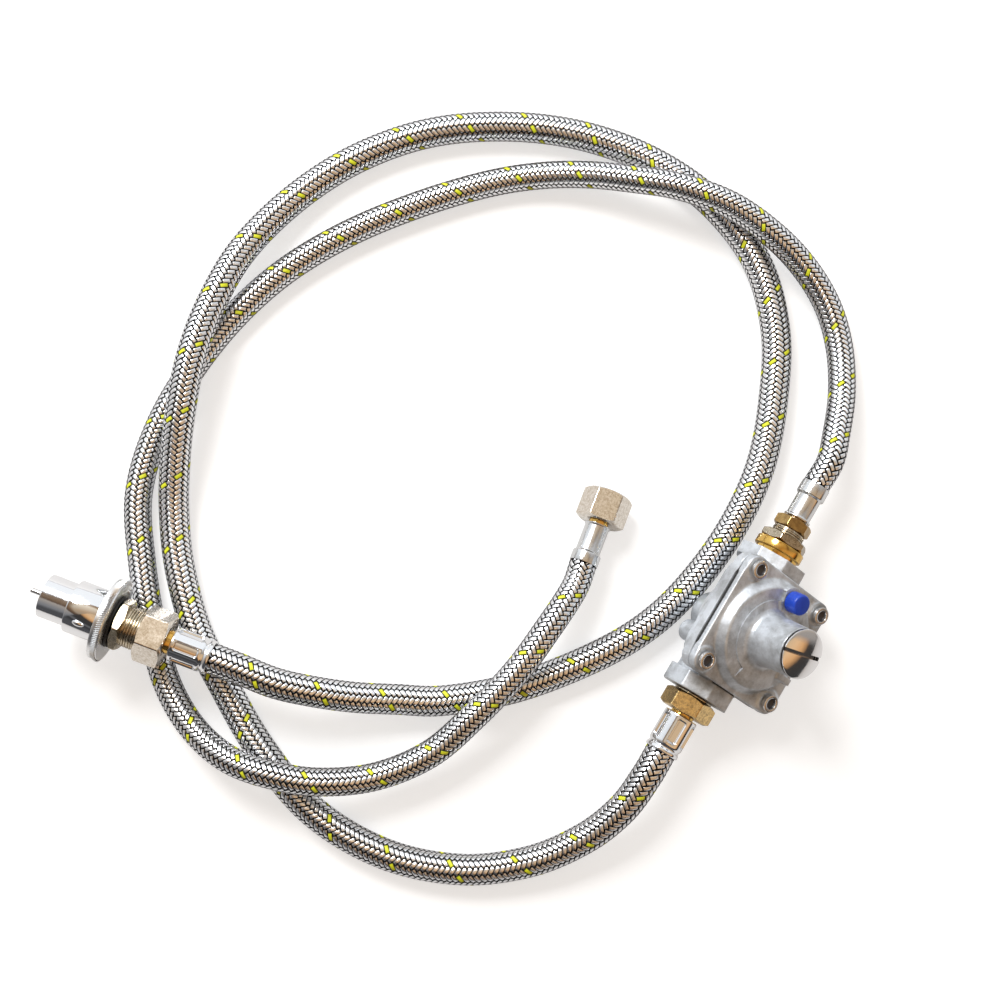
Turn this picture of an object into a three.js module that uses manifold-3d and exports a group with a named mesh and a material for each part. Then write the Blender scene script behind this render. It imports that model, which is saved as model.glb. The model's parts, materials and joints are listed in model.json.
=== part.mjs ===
// Low-pressure gas regulator with its two braided hoses, laid out on a flat surface.
// Millimetres, +Z up. The regulator's ports lie along Y; its cover faces up and toward +X.
import * as THREE from "three";
import { mergeVertices } from "three/addons/utils/BufferGeometryUtils.js";
import Module from "manifold-3d";

const wasm = await Module();
wasm.setup();

// ---- clearances -------------------------------------------------------------------
const fit = 0.3;            // gap left between two seated pieces
const overcut = 1;          // how far a cutting shape runs past the face it opens
const segments = 28;        // sides of a turned piece

// ---- regulator casting --------------------------------------------------------------
const tilt = (35.5 * Math.PI) / 180;   // how far the cover leans toward +X
const flangeHalf = 31;                 // half width of the square flanges
const flangeCorner = 7;                // corner radius of the flanges
const screwInset = 6.2;                // screw centre from the flange edge
const screwHalf = flangeHalf - screwInset;
const screwShank = 2.1;                // cover screw shank radius
const screwHead = 4.4;                 // cover screw head radius
const screwHeadHeight = 2.4;           // cover screw head height
const screwSocket = 4.8;               // socket across flats
const lugRadius = 6.4;                 // round lug under each screw head
const lugHeight = 4;                   // lug height over the cover's lower face
const gasket = 1.2;                    // diaphragm sheet thickness
const diaphragmInset = 0.6;            // diaphragm edge inside the flange edge
const diaphragmHalf = flangeHalf - diaphragmInset;
const screwClearance = 0.93;           // diaphragm corner from the middle of the screws
const diaphragmRound = Math.SQRT2 * screwHalf + screwClearance;
const bodyFlange = 4.6;                // body flange thickness
const bowlInset = 3.5;                 // side of the square bowl inside the flange edge
const bowlHalf = flangeHalf - bowlInset;
const bowlCorner = 9;                  // corner radius of the square bowl
const bowlLean = 5;                    // how far the round bowl narrows to its shoulder
const bowlFloorLean = 5.5;             // and from there to its bottom
const bowlDepth = 11.5;                // bottom of the square bowl below the joint
const bowlBottom = 24;                 // bottom of the rounded bowl below the joint
const bossRadius = 10.5;               // round boss below the valve
const bossDepth = 39;                  // its bottom face below the joint
const lugPost = 5.5;                   // small post radius
const lugPostDepth = 35.5;             // small post bottom below the joint
const lugPostPlace = [-9, -13.5];      // small post centre across and along the ports
const portDepth = 16;                  // port axis below the joint
const portFlats = 34;                  // octagonal port boss across flats
const portFace = 40;                   // inlet face from the centre
const outletFace = 38;                 // outlet face from the centre
const portBore = 7.5;                  // port bore radius
const spigotLength = 9;                // how deep a fitting enters a port
const seatRadius = 4.5;                // valve seat opening
const chamberRadius = 8.8;             // chamber under the seat
const webTop = 5;                      // upper face of the seat web below the joint
const webThickness = 4.2;              // seat web thickness
const floorThickness = 5;              // casting left under the chamber
const bellRadius = 21;                 // gas and spring chambers under and over the diaphragm
const riserRadius = 4.5;               // passage from the upper chamber to the outlet
const riserPlace = 17.6;               // its distance from the centre

// ---- cover, tower, cap ----------------------------------------------------------------
const coverFlange = 3.3;               // cover flange thickness
const domeInset = 2.6;                 // foot of the dome inside the flange edge
const domeRadius = flangeHalf - domeInset;
const domeSlope = 2.8;                 // how far the dome's side leans in
const ribPlace = [9.4, -11.6];         // rib centre from the flange edge, and along the ports
const ribSize = [10, 3.6, 4];
const domeTop = 9.4;                   // flat of the dome above the joint
const coverWall = 2.2;                 // dome wall
const towerFoot = 12.8;                // tower radius at its foot
const towerRim = 12.1;                 // tower radius at its rim
const towerTop = 31.1;                 // tower rim above the joint
const towerBore = 10.8;                // tower bore radius
const bandEdge = 3.8;                  // rim left round the sunk band
const bandWidth = 5.4;                 // width of the sunk band around the tower
const bandOuter = domeRadius - bandEdge;
const bandInner = bandOuter - bandWidth;
const bandFloor = 8.45;                // floor of the sunk band above the joint
const ventInset = 9.7;                 // vent axis from the flange edge, toward the outlet
const ventPlace = flangeHalf - ventInset;
const ventBoss = 7;                    // vent boss radius
const ventBossTop = 10;                // its top above the joint
const ventBore = 2.5;                  // vent hole radius
const ventCap = 5.3;                   // vent plug radius
const ventCapHeight = 7.0;             // vent plug height over its boss
const ventStemLength = 3.8;            // vent plug stem inside the hole
const capFlange = 0.8;                 // seal cap flange thickness
const capDepth = 5.6;                  // seal cap length inside the tower
const capSlot = 1.9;                   // driver slot width
const capSlotDepth = 2.2;              // driver slot depth
const capSpin = -0.22;                 // slot turned from straight down the slope
const sealThickness = 0.6;             // gasket under the cap
const adjusterTop = 25.2;              // top of the adjusting screw above the joint
const adjusterHeight = 5.4;
const adjusterSocket = 6;              // its hexagon socket across flats

// ---- inside parts ---------------------------------------------------------------------
const stemRadius = 1.6;
const stemNeck = 2.4;                  // stem where it passes the diaphragm
const stemCollar = 6;                  // washer formed on the stem under the diaphragm
const stemCollarHeight = 1.7;
const plateRadius = 15;                // diaphragm plate
const plateThickness = 1.4;
const valveTravel = 2;                 // lift of the valve from rest to shut
const valveMargin = 0.15;              // left between disc and seat when shut
const discRadius = 6.2;
const discThickness = 2.6;
const springMean = 8.2;                // spring mean radius
const springWire = 0.75;               // spring wire radius
const springTurns = 5;

// ---- hoses ------------------------------------------------------------------------------
const hoseA = 7.7;                     // outer radius of the hose with the plug
const hoseB = 7.0;                     // outer radius of the hose with the free nut
const hoseSides = 10;
const tailA = 5.9;                     // hose tail radius inside the ferrule
const tailB = 4.9;
const tailWall = 1.8;                  // hose tail wall
const ferruleALength = 20;
const ferruleARadius = 8.6;
const ferruleWindows = 6;              // pressed windows round the ferrule
const windowLength = 12.5;
const windowWidth = 4.8;
const windowPress = 1.3;               // how deep the windows are pressed
const ferruleBRadius = 6.2;            // slim sleeve of the smooth ferrules
const ferruleBStep = 7.3;              // wide end of the smooth ferrules

// ---- outlet fittings ----------------------------------------------------------------------
const ringLength = 7;
const ringRadius = 12.4;               // wide part of the ring
const ringNeck = 11.1;                 // slim part against the casting
const ringNeckLength = 3;
const bushHex = 21.8;                  // across flats
const bushHexLength = 4.6;
const bushThread = 8.4;
const bushThreadLength = 3.5;
const bushSocket = 7;                  // socket that takes the hose tail
const tailHex = 16.8;                  // across flats
const tailHexLength = 5.7;
const outletSleeve = 19.6;             // ferrule length

// ---- inlet fittings ------------------------------------------------------------------------
const adapterCollar = 10;
const adapterCollarLength = 0.9;
const adapterThread = 8.2;
const adapterThreadLength = 4.6;
const inletNutHex = 23.4;              // across flats
const inletNutLength = 9.4;
const nutFloor = 2.1;                  // floor of a swivel nut
const tailFlange = 2;                  // flange a swivel nut pulls on
const inletNeck = 1.2;                 // bare tail between nut and ferrule

// ---- plug ------------------------------------------------------------------------------------
const pinRadius = 1.3;
const pinOut = 7.6;                    // pin standing out of the barrel
const barrelRadius = 10.9;
const barrelLength = 14.4;
const sleeveRadius = 13.2;
const sleeveLength = 16.2;
const discFlange = 20.7;               // knurled flange radius
const discFlangeLength = 5.3;
const washerRadius = 13.6;
const washerThickness = 1.9;
const washerSunk = 0.6;                // how deep the washer sits in the knurled flange
const plugNeck = 8.9;
const plugHex = 23.6;                  // across flats
const plugHexLength = 4.9;
const plugHexSpin = -0.323;
const plugThread = 10.3;
const plugThreadLength = 16.2;
const unionHex = 25.2;                 // across flats
const unionLength = 14;
const unionSpin = -0.167;
const unionPlace = 57.6;               // front of the union nut from the pin tip
const unionNeck = 2.3;                 // bare tail between nut and ferrule

// ---- free end ----------------------------------------------------------------------------------
const flareHex = 22.2;                 // across flats
const flareLength = 15.8;
const flareBore = 8;
const flareHead = 7.6;                 // flared head of the tail
const flareHeadLength = 2.1;
const freeNeck = 1.5;
const freeSleeve = 14.6;               // slim part of the free ferrule
const freeCollar = 6.3;                // wide part of the free ferrule

// ---- where the loose ends lie, from the regulator's centre ------------------------------------
const plugTip = [-312.52, -164.15, 32.3];
const plugHeading = (10.52 * Math.PI) / 180;    // about +Z, from +X
const plugPitch = (-2.5 * Math.PI) / 180;    // rising toward the hose
const freeMouth = [-95, 25.2];
const freeHeading = (-80 * Math.PI) / 180;   // about +Z, from +X, toward the hose
const freePitch = (6 * Math.PI) / 180;       // rising toward the hose
const floorGap = 0.3;                        // hoses and nut lie this far off the surface

// Hand-chosen routes, as x, y and height of the hose centre.
const routeA = [
  [-187.8, -141.4, 26], [-170.5, -135.8, 22.5], [-152.2, -128.2, 17], [-134, -118.6, 12], [-112, -106, 9],
  [-84, -81, 8], [-58, -47, 8], [-43, -18, 8], [-35.5, 12, 8], [-33, 45, 8],
  [-36.5, 78, 8], [-47.5, 110, 8], [-65, 143, 8], [-92, 170, 8], [-128, 185, 8],
  [-166, 188, 8], [-204, 181, 8], [-240, 165, 8], [-273, 141, 8], [-298, 110, 8],
  [-314, 75, 9.2], [-321, 37, 14.5], [-318, 4, 21], [-311, -25, 24], [-301, -52, 21.5],
  [-291, -75, 15.5], [-279, -97, 10], [-262, -119, 8], [-238, -141, 8], [-210, -158, 8],
  [-177, -175, 8], [-139, -187, 8], [-99, -186, 8], [-63, -173, 8.6], [-36, -152, 10.5],
  [-19, -128, 15], [-11, -106, 20.5],
];
const routeB = [
  [-13, 109, 20.5], [-20, 130, 14], [-32, 151, 10], [-48, 167, 10.5], [-68, 177, 14.8],
  [-91, 182, 20.5], [-118, 183, 24.4], [-145, 178, 24.2], [-167, 171, 19.5], [-189, 163, 13.5],
  [-211, 151, 9], [-233, 133, 7.3], [-258, 105, 7.3], [-281, 73, 7.3], [-298, 40, 7.3],
  [-308, 6, 7.3], [-312, -30, 7.3], [-310, -66, 7.3], [-300, -99, 7.3], [-279, -128, 7.3],
  [-256.5, -153, 7.3], [-236, -171, 9], [-213, -182, 14], [-189, -185, 20.5], [-166, -180, 24.4],
  [-144, -171, 22.4], [-122, -155, 18], [-105, -132, 18.4], [-96, -105, 22.8], [-89.5, -76, 24.8],
  [-87, -50, 22.8],
];
const leadLength = 14;                 // straight length where a hose leaves a ferrule
const stepsA = 46;
const stepsB = 34;

// ---- making and joining solids -----------------------------------------------------------------
function solid(geometry) {
  geometry.deleteAttribute("normal");
  geometry.deleteAttribute("uv");
  const merged = mergeVertices(geometry, 1e-4);
  const index = merged.index.array;
  const build = (flip) => {
    const triangles = [];
    for (let i = 0; i < index.length; i += 3) {
      const [a, b, c] = [index[i], index[i + 1], index[i + 2]];
      if (a === b || b === c || a === c) continue;
      triangles.push(a, flip ? c : b, flip ? b : c);
    }
    return new wasm.Manifold(new wasm.Mesh({
      numProp: 3,
      vertProperties: Float32Array.from(merged.attributes.position.array),
      triVerts: Uint32Array.from(triangles),
    }));
  };
  const first = build(false);
  return first.volume() < 0 ? build(true) : first;
}

function join(...shapes) {
  return shapes.reduce((sum, shape) => sum.add(shape));
}

function cut(shape, ...tools) {
  return tools.reduce((left, tool) => left.subtract(tool), shape);
}

// A turned piece round Z from its half profile of [radius, height] points.
function turned(profile, sides = segments) {
  const points = profile.map(([radius, height]) => new THREE.Vector2(radius, height));
  return new THREE.LatheGeometry(points, sides).rotateX(Math.PI / 2);
}

function rod(radius, low, high, sides = segments) {
  return turned([[0, low], [radius, low], [radius, high], [0, high]], sides);
}

function tube(outer, inner, low, high, sides = segments) {
  return turned([[inner, low], [outer, low], [outer, high], [inner, high], [inner, low]], sides);
}

function prism(shape, low, high, curveSegments = 4) {
  const options = { depth: high - low, bevelEnabled: false, curveSegments };
  return new THREE.ExtrudeGeometry(shape, options).translate(0, 0, low);
}

// A regular polygon with a flat facing +X, turned by spin.
function polygon(count, acrossFlats, spin = 0) {
  const radius = acrossFlats / 2 / Math.cos(Math.PI / count);
  const shape = new THREE.Shape();
  for (let i = 0; i < count; i += 1) {
    const angle = ((i + 0.5) * 2 * Math.PI) / count + spin;
    const corner = [radius * Math.cos(angle), radius * Math.sin(angle)];
    if (i === 0) shape.moveTo(...corner);
    else shape.lineTo(...corner);
  }
  shape.closePath();
  return shape;
}

function roundedSquare(half, corner) {
  const shape = new THREE.Shape();
  const inner = half - corner;
  shape.moveTo(-inner, -half);
  shape.lineTo(inner, -half);
  shape.absarc(inner, -inner, corner, -Math.PI / 2, 0, false);
  shape.lineTo(half, inner);
  shape.absarc(inner, inner, corner, 0, Math.PI / 2, false);
  shape.lineTo(-inner, half);
  shape.absarc(-inner, inner, corner, Math.PI / 2, Math.PI, false);
  shape.lineTo(-half, -inner);
  shape.absarc(-inner, -inner, corner, Math.PI, 1.5 * Math.PI, false);
  return shape;
}

// A hexagon with its corners chamfered at one or both ends.
function hexagon(acrossFlats, low, high, { spin = 0, chamferLow = true, chamferHigh = true } = {}) {
  const corner = (acrossFlats / 2 / Math.cos(Math.PI / 6)) * 1.01;
  const end = (acrossFlats / 2) * 0.97;
  const drop = (corner - end) * Math.tan(Math.PI / 6);
  const profile = [[0, low]];
  if (chamferLow) profile.push([end, low], [corner, low + drop]);
  else profile.push([corner, low]);
  if (chamferHigh) profile.push([corner, high - drop], [end, high]);
  else profile.push([corner, high]);
  profile.push([0, high]);
  return solid(prism(polygon(6, acrossFlats, spin), low, high)).intersect(solid(turned(profile, 24)));
}

// ---- materials ---------------------------------------------------------------------------------
function finish(color, roughness, metalness) {
  return new THREE.MeshStandardMaterial({ color, roughness, metalness });
}

const castAluminium = finish(0xb4b6ba, 0.45, 0.9);
const turnedAluminium = finish(0xe6e7ea, 0.15, 1);
const chrome = finish(0xd9dade, 0.12, 1);
const nickel = finish(0xb9b5aa, 0.22, 1);
const brass = finish(0xc89a45, 0.25, 1);
const steel = finish(0xa9adb3, 0.35, 1);
const blackRubber = finish(0x17181a, 0.8, 0);
const bluePlastic = finish(0x123fae, 0.4, 0);
const braid = finish(0xb9bcc0, 0.35, 0.9);

// ---- the scene graph -----------------------------------------------------------------------------
const assembly = new THREE.Group();
const regulator = new THREE.Group();
regulator.rotation.y = tilt;
assembly.add(regulator);

function place(parent, name, shape, material) {
  const made = shape.getMesh();
  const geometry = new THREE.BufferGeometry();
  geometry.setAttribute("position", new THREE.BufferAttribute(Float32Array.from(made.vertProperties), 3));
  geometry.setIndex(new THREE.BufferAttribute(Uint32Array.from(made.triVerts), 1));
  geometry.computeVertexNormals();
  const mesh = new THREE.Mesh(geometry, material);
  mesh.name = name;
  parent.add(mesh);
  return mesh;
}

const jointGap = gasket / 2 + fit;     // casting faces stand this far from the joint plane
const padGap = fit / 2;                // corner pads nearly meet
const screwPlaces = [[1, 1], [1, -1], [-1, -1], [-1, 1]].map(([a, b]) => [a * screwHalf, b * screwHalf]);
const seatLow = -(webTop + webThickness);

function screwHoles(low, high) {
  return screwPlaces.map(([x, y]) => solid(rod(screwShank + fit, low, high, 12).translate(x, y, 0)));
}

// Corner pads: what is left of the flange outline outside the diaphragm.
function cornerPads(low, high) {
  const outline = solid(prism(roundedSquare(flangeHalf, flangeCorner), low, high));
  const middle = solid(rod(diaphragmRound + fit, low - overcut, high + overcut, 36));
  return outline.subtract(middle);
}

function alongY(geometry) {
  return geometry.rotateX(-Math.PI / 2).translate(0, 0, -portDepth);
}

function regulatorBody() {
  const flangeLow = -(jointGap + bodyFlange);
  const flange = solid(prism(roundedSquare(flangeHalf, flangeCorner), flangeLow, -jointGap));
  const square = solid(prism(roundedSquare(bowlHalf, bowlCorner), -bowlDepth, flangeLow + overcut));
  const bowl = solid(turned([
    [0, -bowlBottom], [bowlHalf - bowlLean - bowlFloorLean, -bowlBottom],
    [bowlHalf - bowlLean, -bowlBottom + 5], [bowlHalf - 0.4, -bowlDepth],
    [bowlHalf - 0.4, -bowlDepth + 2], [0, -bowlDepth + 2],
  ]));
  const boss = solid(turned([
    [0, -bossDepth], [bossRadius - 1, -bossDepth], [bossRadius, -bossDepth + 1],
    [bossRadius, -bowlBottom + 4], [0, -bowlBottom + 4],
  ]));
  const post = solid(turned([
    [0, -lugPostDepth], [lugPost - 1.4, -lugPostDepth], [lugPost, -lugPostDepth + 1.4],
    [lugPost, -bowlBottom + 8], [0, -bowlBottom + 8],
  ], 18).translate(lugPostPlace[0], lugPostPlace[1], 0));
  const neck = solid(alongY(rod(portFlats / 2 - 2.5, -portFace + 1, outletFace - 1)));
  const outline = () => polygon(8, portFlats);
  const inlet = solid(alongY(prism(outline(), -portFace, -(flangeHalf + fit))));
  const outlet = solid(alongY(prism(outline(), flangeHalf + fit, outletFace)));
  const trim = solid(new THREE.BoxGeometry(4 * flangeHalf, 2 * (flangeHalf + fit), portFlats)
    .translate(0, 0, -jointGap + portFlats / 2));
  const shell = join(cut(join(flange, square, bowl, boss, post, neck), trim),
    cornerPads(-jointGap - overcut, -padGap), inlet, outlet);

  const upper = solid(rod(bellRadius, -webTop, overcut));
  const lower = solid(rod(chamberRadius, -bossDepth + floorThickness, seatLow));
  const seat = solid(rod(seatRadius, seatLow - overcut, -webTop + overcut, 18));
  const guide = solid(rod(stemRadius + fit, -bossDepth + 1.8, -bossDepth + floorThickness + overcut, 12));
  const inletBore = solid(alongY(rod(portBore, -portFace - overcut, 0, 20)));
  const outletBore = solid(alongY(rod(portBore, chamberRadius + floorThickness, outletFace + overcut, 20)));
  const riser = solid(rod(riserRadius, -portDepth, -webTop + overcut, 14).translate(0, riserPlace, 0));
  return cut(shell, upper, lower, seat, guide, inletBore, outletBore, riser,
    ...screwHoles(-jointGap - bodyFlange - overcut, overcut));
}

function sunkBand() {
  const shape = new THREE.Shape();
  const [from, to] = [1.82, 4.45];
  shape.absarc(0, 0, bandOuter, from, to, false);
  shape.absarc(0, 0, bandInner, to, from, true);
  shape.closePath();
  return solid(prism(shape, bandFloor, domeTop + overcut, 12));
}

function regulatorCover() {
  const flange = solid(prism(roundedSquare(flangeHalf, flangeCorner), jointGap, jointGap + coverFlange));
  const lugs = screwPlaces.map(([x, y]) =>
    solid(rod(lugRadius, jointGap, jointGap + lugHeight, 16).translate(x, y, 0)));
  const foot = jointGap + coverFlange;
  const dome = solid(turned([
    [0, foot - overcut], [domeRadius, foot - overcut], [domeRadius, foot + 0.5],
    [domeRadius - domeSlope, domeTop - 1], [bandInner + 0.2, domeTop - 0.2],
    [towerFoot + 2.6, domeTop], [towerFoot + 1, domeTop + 0.8],
    [towerFoot + 0.2, domeTop + 2.4], [towerFoot, domeTop + 4.5], [towerRim, towerTop], [0, towerTop],
  ], 40));
  const vent = solid(rod(ventBoss, foot, ventBossTop, 20).translate(0, ventPlace, 0));
  const rib = solid(new THREE.BoxGeometry(...ribSize)
    .translate(flangeHalf - ribPlace[0], ribPlace[1], domeTop + 0.1 - ribSize[2] / 2));
  const outside = join(flange, ...lugs, dome, vent, rib, cornerPads(padGap, jointGap + overcut));
  const inside = solid(turned([
    [0, -overcut], [bellRadius, -overcut], [bellRadius, domeTop - coverWall - 2.6],
    [bellRadius - 4, domeTop - coverWall - 0.6], [towerBore, domeTop - coverWall],
    [towerBore, towerTop + overcut], [0, towerTop + overcut],
  ], 28));
  const hole = solid(rod(ventBore, foot - 1.6, ventBossTop + overcut, 12).translate(0, ventPlace, 0));
  return cut(outside, inside, hole, sunkBand(), ...screwHoles(-overcut, jointGap + lugHeight + overcut));
}

function diaphragmSheet() {
  const sheet = solid(prism(roundedSquare(diaphragmHalf, 2), -gasket / 2, gasket / 2));
  const round = solid(rod(diaphragmRound, -gasket, gasket, 36));
  const hole = solid(rod(stemNeck + fit, -gasket, gasket, 16));
  return cut(sheet.intersect(round), hole, ...screwHoles(-gasket, gasket));
}

function diaphragmPlate() {
  return solid(turned([
    [stemNeck + fit, jointGap], [plateRadius - 1.5, jointGap], [plateRadius, jointGap + 0.6],
    [plateRadius, jointGap + plateThickness], [stemNeck + fit, jointGap + plateThickness],
    [stemNeck + fit, jointGap],
  ]));
}

function valveStem() {
  const tip = -bossDepth + 1.8 + fit + 0.2;
  return solid(turned([
    [0, tip], [stemRadius, tip], [stemRadius, -jointGap - stemCollarHeight],
    [stemCollar, -jointGap - stemCollarHeight], [stemCollar, -jointGap], [stemNeck, -jointGap],
    [stemNeck, jointGap + plateThickness + fit], [stemNeck + 1.6, jointGap + plateThickness + fit],
    [stemNeck + 1.6, jointGap + plateThickness + 1.8], [0, jointGap + plateThickness + 1.8],
  ], 16));
}

const discTop = seatLow - valveTravel - valveMargin;

function valveDisc() {
  return solid(tube(discRadius, stemRadius + fit, discTop - discThickness, discTop, 20));
}

function mainSpring() {
  const low = jointGap + plateThickness + fit + springWire;
  const high = adjusterTop - adjusterHeight - fit - springWire;
  class Coil extends THREE.Curve {
    getPoint(t, target = new THREE.Vector3()) {
      const angle = 2 * Math.PI * springTurns * t;
      return target.set(springMean * Math.cos(angle), springMean * Math.sin(angle), low + (high - low) * t);
    }
  }
  const section = polygon(5, 2 * springWire * Math.cos(Math.PI / 5));
  const options = { steps: springTurns * 10, bevelEnabled: false, extrudePath: new Coil() };
  return solid(new THREE.ExtrudeGeometry(section, options));
}

function adjustingScrew() {
  const low = adjusterTop - adjusterHeight;
  const body = solid(rod(towerBore - fit, low, adjusterTop));
  const socket = solid(prism(polygon(6, adjusterSocket), adjusterTop - 3.6, adjusterTop + overcut));
  return body.subtract(socket);
}

function sealCap() {
  const seat = towerTop + sealThickness + 2 * fit;
  const top = seat + capFlange;
  const body = solid(turned([
    [0, seat - capDepth], [towerBore - fit - 0.1, seat - capDepth], [towerBore - fit - 0.1, seat],
    [towerRim, seat], [towerRim, top - 0.3], [towerRim - 0.3, top], [0, top],
  ], 36));
  const slot = new THREE.BoxGeometry(4 * towerRim, capSlot, 2 * capSlotDepth).rotateZ(capSpin);
  return body.subtract(solid(slot.translate(0, 0, top)));
}

function sealGasket() {
  return solid(tube(towerRim - 0.1, towerBore + 0.05, towerTop + fit, towerTop + fit + sealThickness, 28));
}

function ventPlug() {
  const foot = ventBossTop + fit;
  const top = foot + ventCapHeight;
  return solid(turned([
    [0, foot - ventStemLength], [ventBore - fit, foot - ventStemLength], [ventBore - fit, foot],
    [ventCap, foot], [ventCap - 0.2, top - 0.9], [ventCap - 1.1, top], [0, top],
  ], 20).translate(0, ventPlace, 0));
}

function coverScrew([x, y]) {
  const seat = jointGap + lugHeight + fit;
  const top = seat + screwHeadHeight;
  const body = solid(turned([
    [0, -jointGap - bodyFlange + 0.4], [screwShank, -jointGap - bodyFlange + 0.4], [screwShank, seat],
    [screwHead, seat], [screwHead, top - 0.5], [screwHead - 0.5, top], [0, top],
  ], 16));
  const socket = solid(prism(polygon(6, screwSocket), top - 1.6, top + overcut));
  const made = body.subtract(socket);
  return { made, x, y };
}

// ---- ferrules -------------------------------------------------------------------------------------
function windowedFerrule(start) {
  const end = start + ferruleALength;
  const inner = tailA + fit;
  const sleeve = solid(turned([
    [inner, start], [ferruleARadius - 0.5, start], [ferruleARadius, start + 0.8],
    [ferruleARadius, end - 4.4], [ferruleARadius - 0.7, end - 2.9], [ferruleARadius, end - 1.4],
    [ferruleARadius - 0.2, end], [inner, end], [inner, start],
  ], 24));
  const windows = [];
  for (let i = 0; i < ferruleWindows; i += 1) {
    const shape = new THREE.Shape();
    const [a, b, r] = [windowLength / 2, windowWidth / 2, 1.2];
    shape.moveTo(-a + r, -b);
    shape.absarc(a - r, -b + r, r, -Math.PI / 2, 0, false);
    shape.absarc(a - r, b - r, r, 0, Math.PI / 2, false);
    shape.absarc(-a + r, b - r, r, Math.PI / 2, Math.PI, false);
    shape.absarc(-a + r, -b + r, r, Math.PI, 1.5 * Math.PI, false);
    const floor = ferruleARadius - windowPress;
    const tool = prism(shape, floor, ferruleARadius + overcut, 1).rotateY(Math.PI / 2);
    windows.push(solid(tool.translate(0, 0, start + 1.9 + windowLength / 2)
      .rotateZ((i * 2 * Math.PI) / ferruleWindows)));
  }
  return cut(sleeve, ...windows);
}

function smoothFerrule(start, slim, wide, rim) {
  const inner = tailB + fit;
  const step = start + slim;
  const end = step + wide;
  const lip = rim ? [[ferruleBRadius + 0.8, start], [ferruleBRadius + 0.8, start + 0.9]] : [];
  return solid(turned([
    [inner, start], ...lip, [ferruleBRadius, start + (rim ? 1.1 : 0)], [ferruleBRadius, step],
    [ferruleBStep, step + 0.8], [ferruleBStep, end - 0.3], [ferruleBStep - 0.3, end], [inner, end],
    [inner, start],
  ], 24));
}

// ---- outlet chain, measured outward from the port face -----------------------------------------
const ringEnd = fit + ringLength;
const bushStart = ringEnd + fit;
const bushShoulder = bushStart + bushHexLength;
const bushEnd = bushShoulder + bushThreadLength;
const tailHexStart = bushEnd + fit;
const tailHexEnd = tailHexStart + tailHexLength;
const outletSleeveStart = tailHexEnd + 1;
const outletEnd = outletSleeveStart + outletSleeve;

function outletRing() {
  return solid(turned([
    [portBore + fit, fit], [ringNeck, fit], [ringNeck, fit + ringNeckLength - 0.5],
    [ringRadius, fit + ringNeckLength],
    [ringRadius, ringEnd - 0.3], [ringRadius - 0.3, ringEnd], [portBore + fit, ringEnd],
    [portBore + fit, fit],
  ], 32));
}

function outletBush() {
  const spigot = solid(rod(portBore - fit, -spigotLength, bushStart + 0.1));
  const hex = hexagon(bushHex, bushStart, bushShoulder, { spin: 0.12 });
  const thread = solid(rod(bushThread, bushShoulder - 0.1, bushEnd));
  const bore = solid(rod(tailB, -spigotLength - overcut, bushEnd + overcut, 16));
  const socket = solid(rod(bushSocket, bushStart + 1.5, bushEnd + overcut, 20));
  return cut(join(spigot, hex, thread), bore, socket);
}

function hoseBTailOutlet() {
  const spigot = solid(rod(bushSocket - fit, bushStart + 1.5 + fit, tailHexStart + 0.1, 20));
  const hex = hexagon(tailHex, tailHexStart, tailHexEnd);
  const barb = solid(rod(tailB, tailHexEnd - 0.1, outletEnd - 1, 14));
  const bore = solid(rod(tailB - tailWall, 0, outletEnd + overcut, 12));
  return cut(join(spigot, hex, barb), bore);
}

// ---- inlet chain, measured outward from the port face ------------------------------------------
const collarEnd = fit + adapterCollarLength;
const adapterEnd = collarEnd + adapterThreadLength;
const inletNutStart = collarEnd + fit;
const inletNutEnd = inletNutStart + inletNutLength;
const inletFerruleStart = inletNutEnd + inletNeck;
const inletEnd = inletFerruleStart + ferruleALength;

function inletAdapter() {
  const spigot = solid(rod(portBore - fit, -spigotLength, fit + 0.1));
  const collar = solid(rod(adapterCollar, fit, collarEnd));
  const thread = solid(rod(adapterThread, collarEnd - 0.1, adapterEnd));
  const bore = solid(rod(tailA - tailWall, -spigotLength - overcut, adapterEnd + overcut, 14));
  return join(spigot, collar, thread).subtract(bore);
}

// A nut that swivels on a flanged tail: bore over the thread, floor behind the flange.
function swivelNut(acrossFlats, start, length, thread, tail, spin) {
  const end = start + length;
  const bore = solid(rod(thread + fit, start - overcut, end - nutFloor, 24));
  const hole = solid(rod(tail + fit, start, end + overcut, 20));
  return cut(hexagon(acrossFlats, start, end, { spin }), bore, hole);
}

// The tail a swivel nut pulls on: its flange lies against the nut's floor.
function flangedTail(nutEnd, flangeRadius, tail, wall, end) {
  const flangeTop = nutEnd - nutFloor - fit;
  const flange = solid(rod(flangeRadius, flangeTop - tailFlange, flangeTop));
  const barb = solid(rod(tail, flangeTop - 0.1, end - 1, 16));
  const bore = solid(rod(tail - wall, flangeTop - tailFlange - overcut, end + overcut, 12));
  return join(flange, barb).subtract(bore);
}

// ---- plug chain, measured from the pin tip toward the hose -------------------------------------
const barrelEnd = pinOut + barrelLength;
const sleeveEnd = barrelEnd + sleeveLength;
const flangeEnd = sleeveEnd + discFlangeLength;
const plugHexStart = flangeEnd - washerSunk + washerThickness + fit;
const plugHexEnd = plugHexStart + plugHexLength;
const plugThreadEnd = plugHexEnd + plugThreadLength;
const unionEnd = unionPlace + unionLength;
const plugFerruleStart = unionEnd + unionNeck;
const plugEnd = plugFerruleStart + ferruleALength;
const gasBoreStart = barrelEnd + 2;

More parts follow.
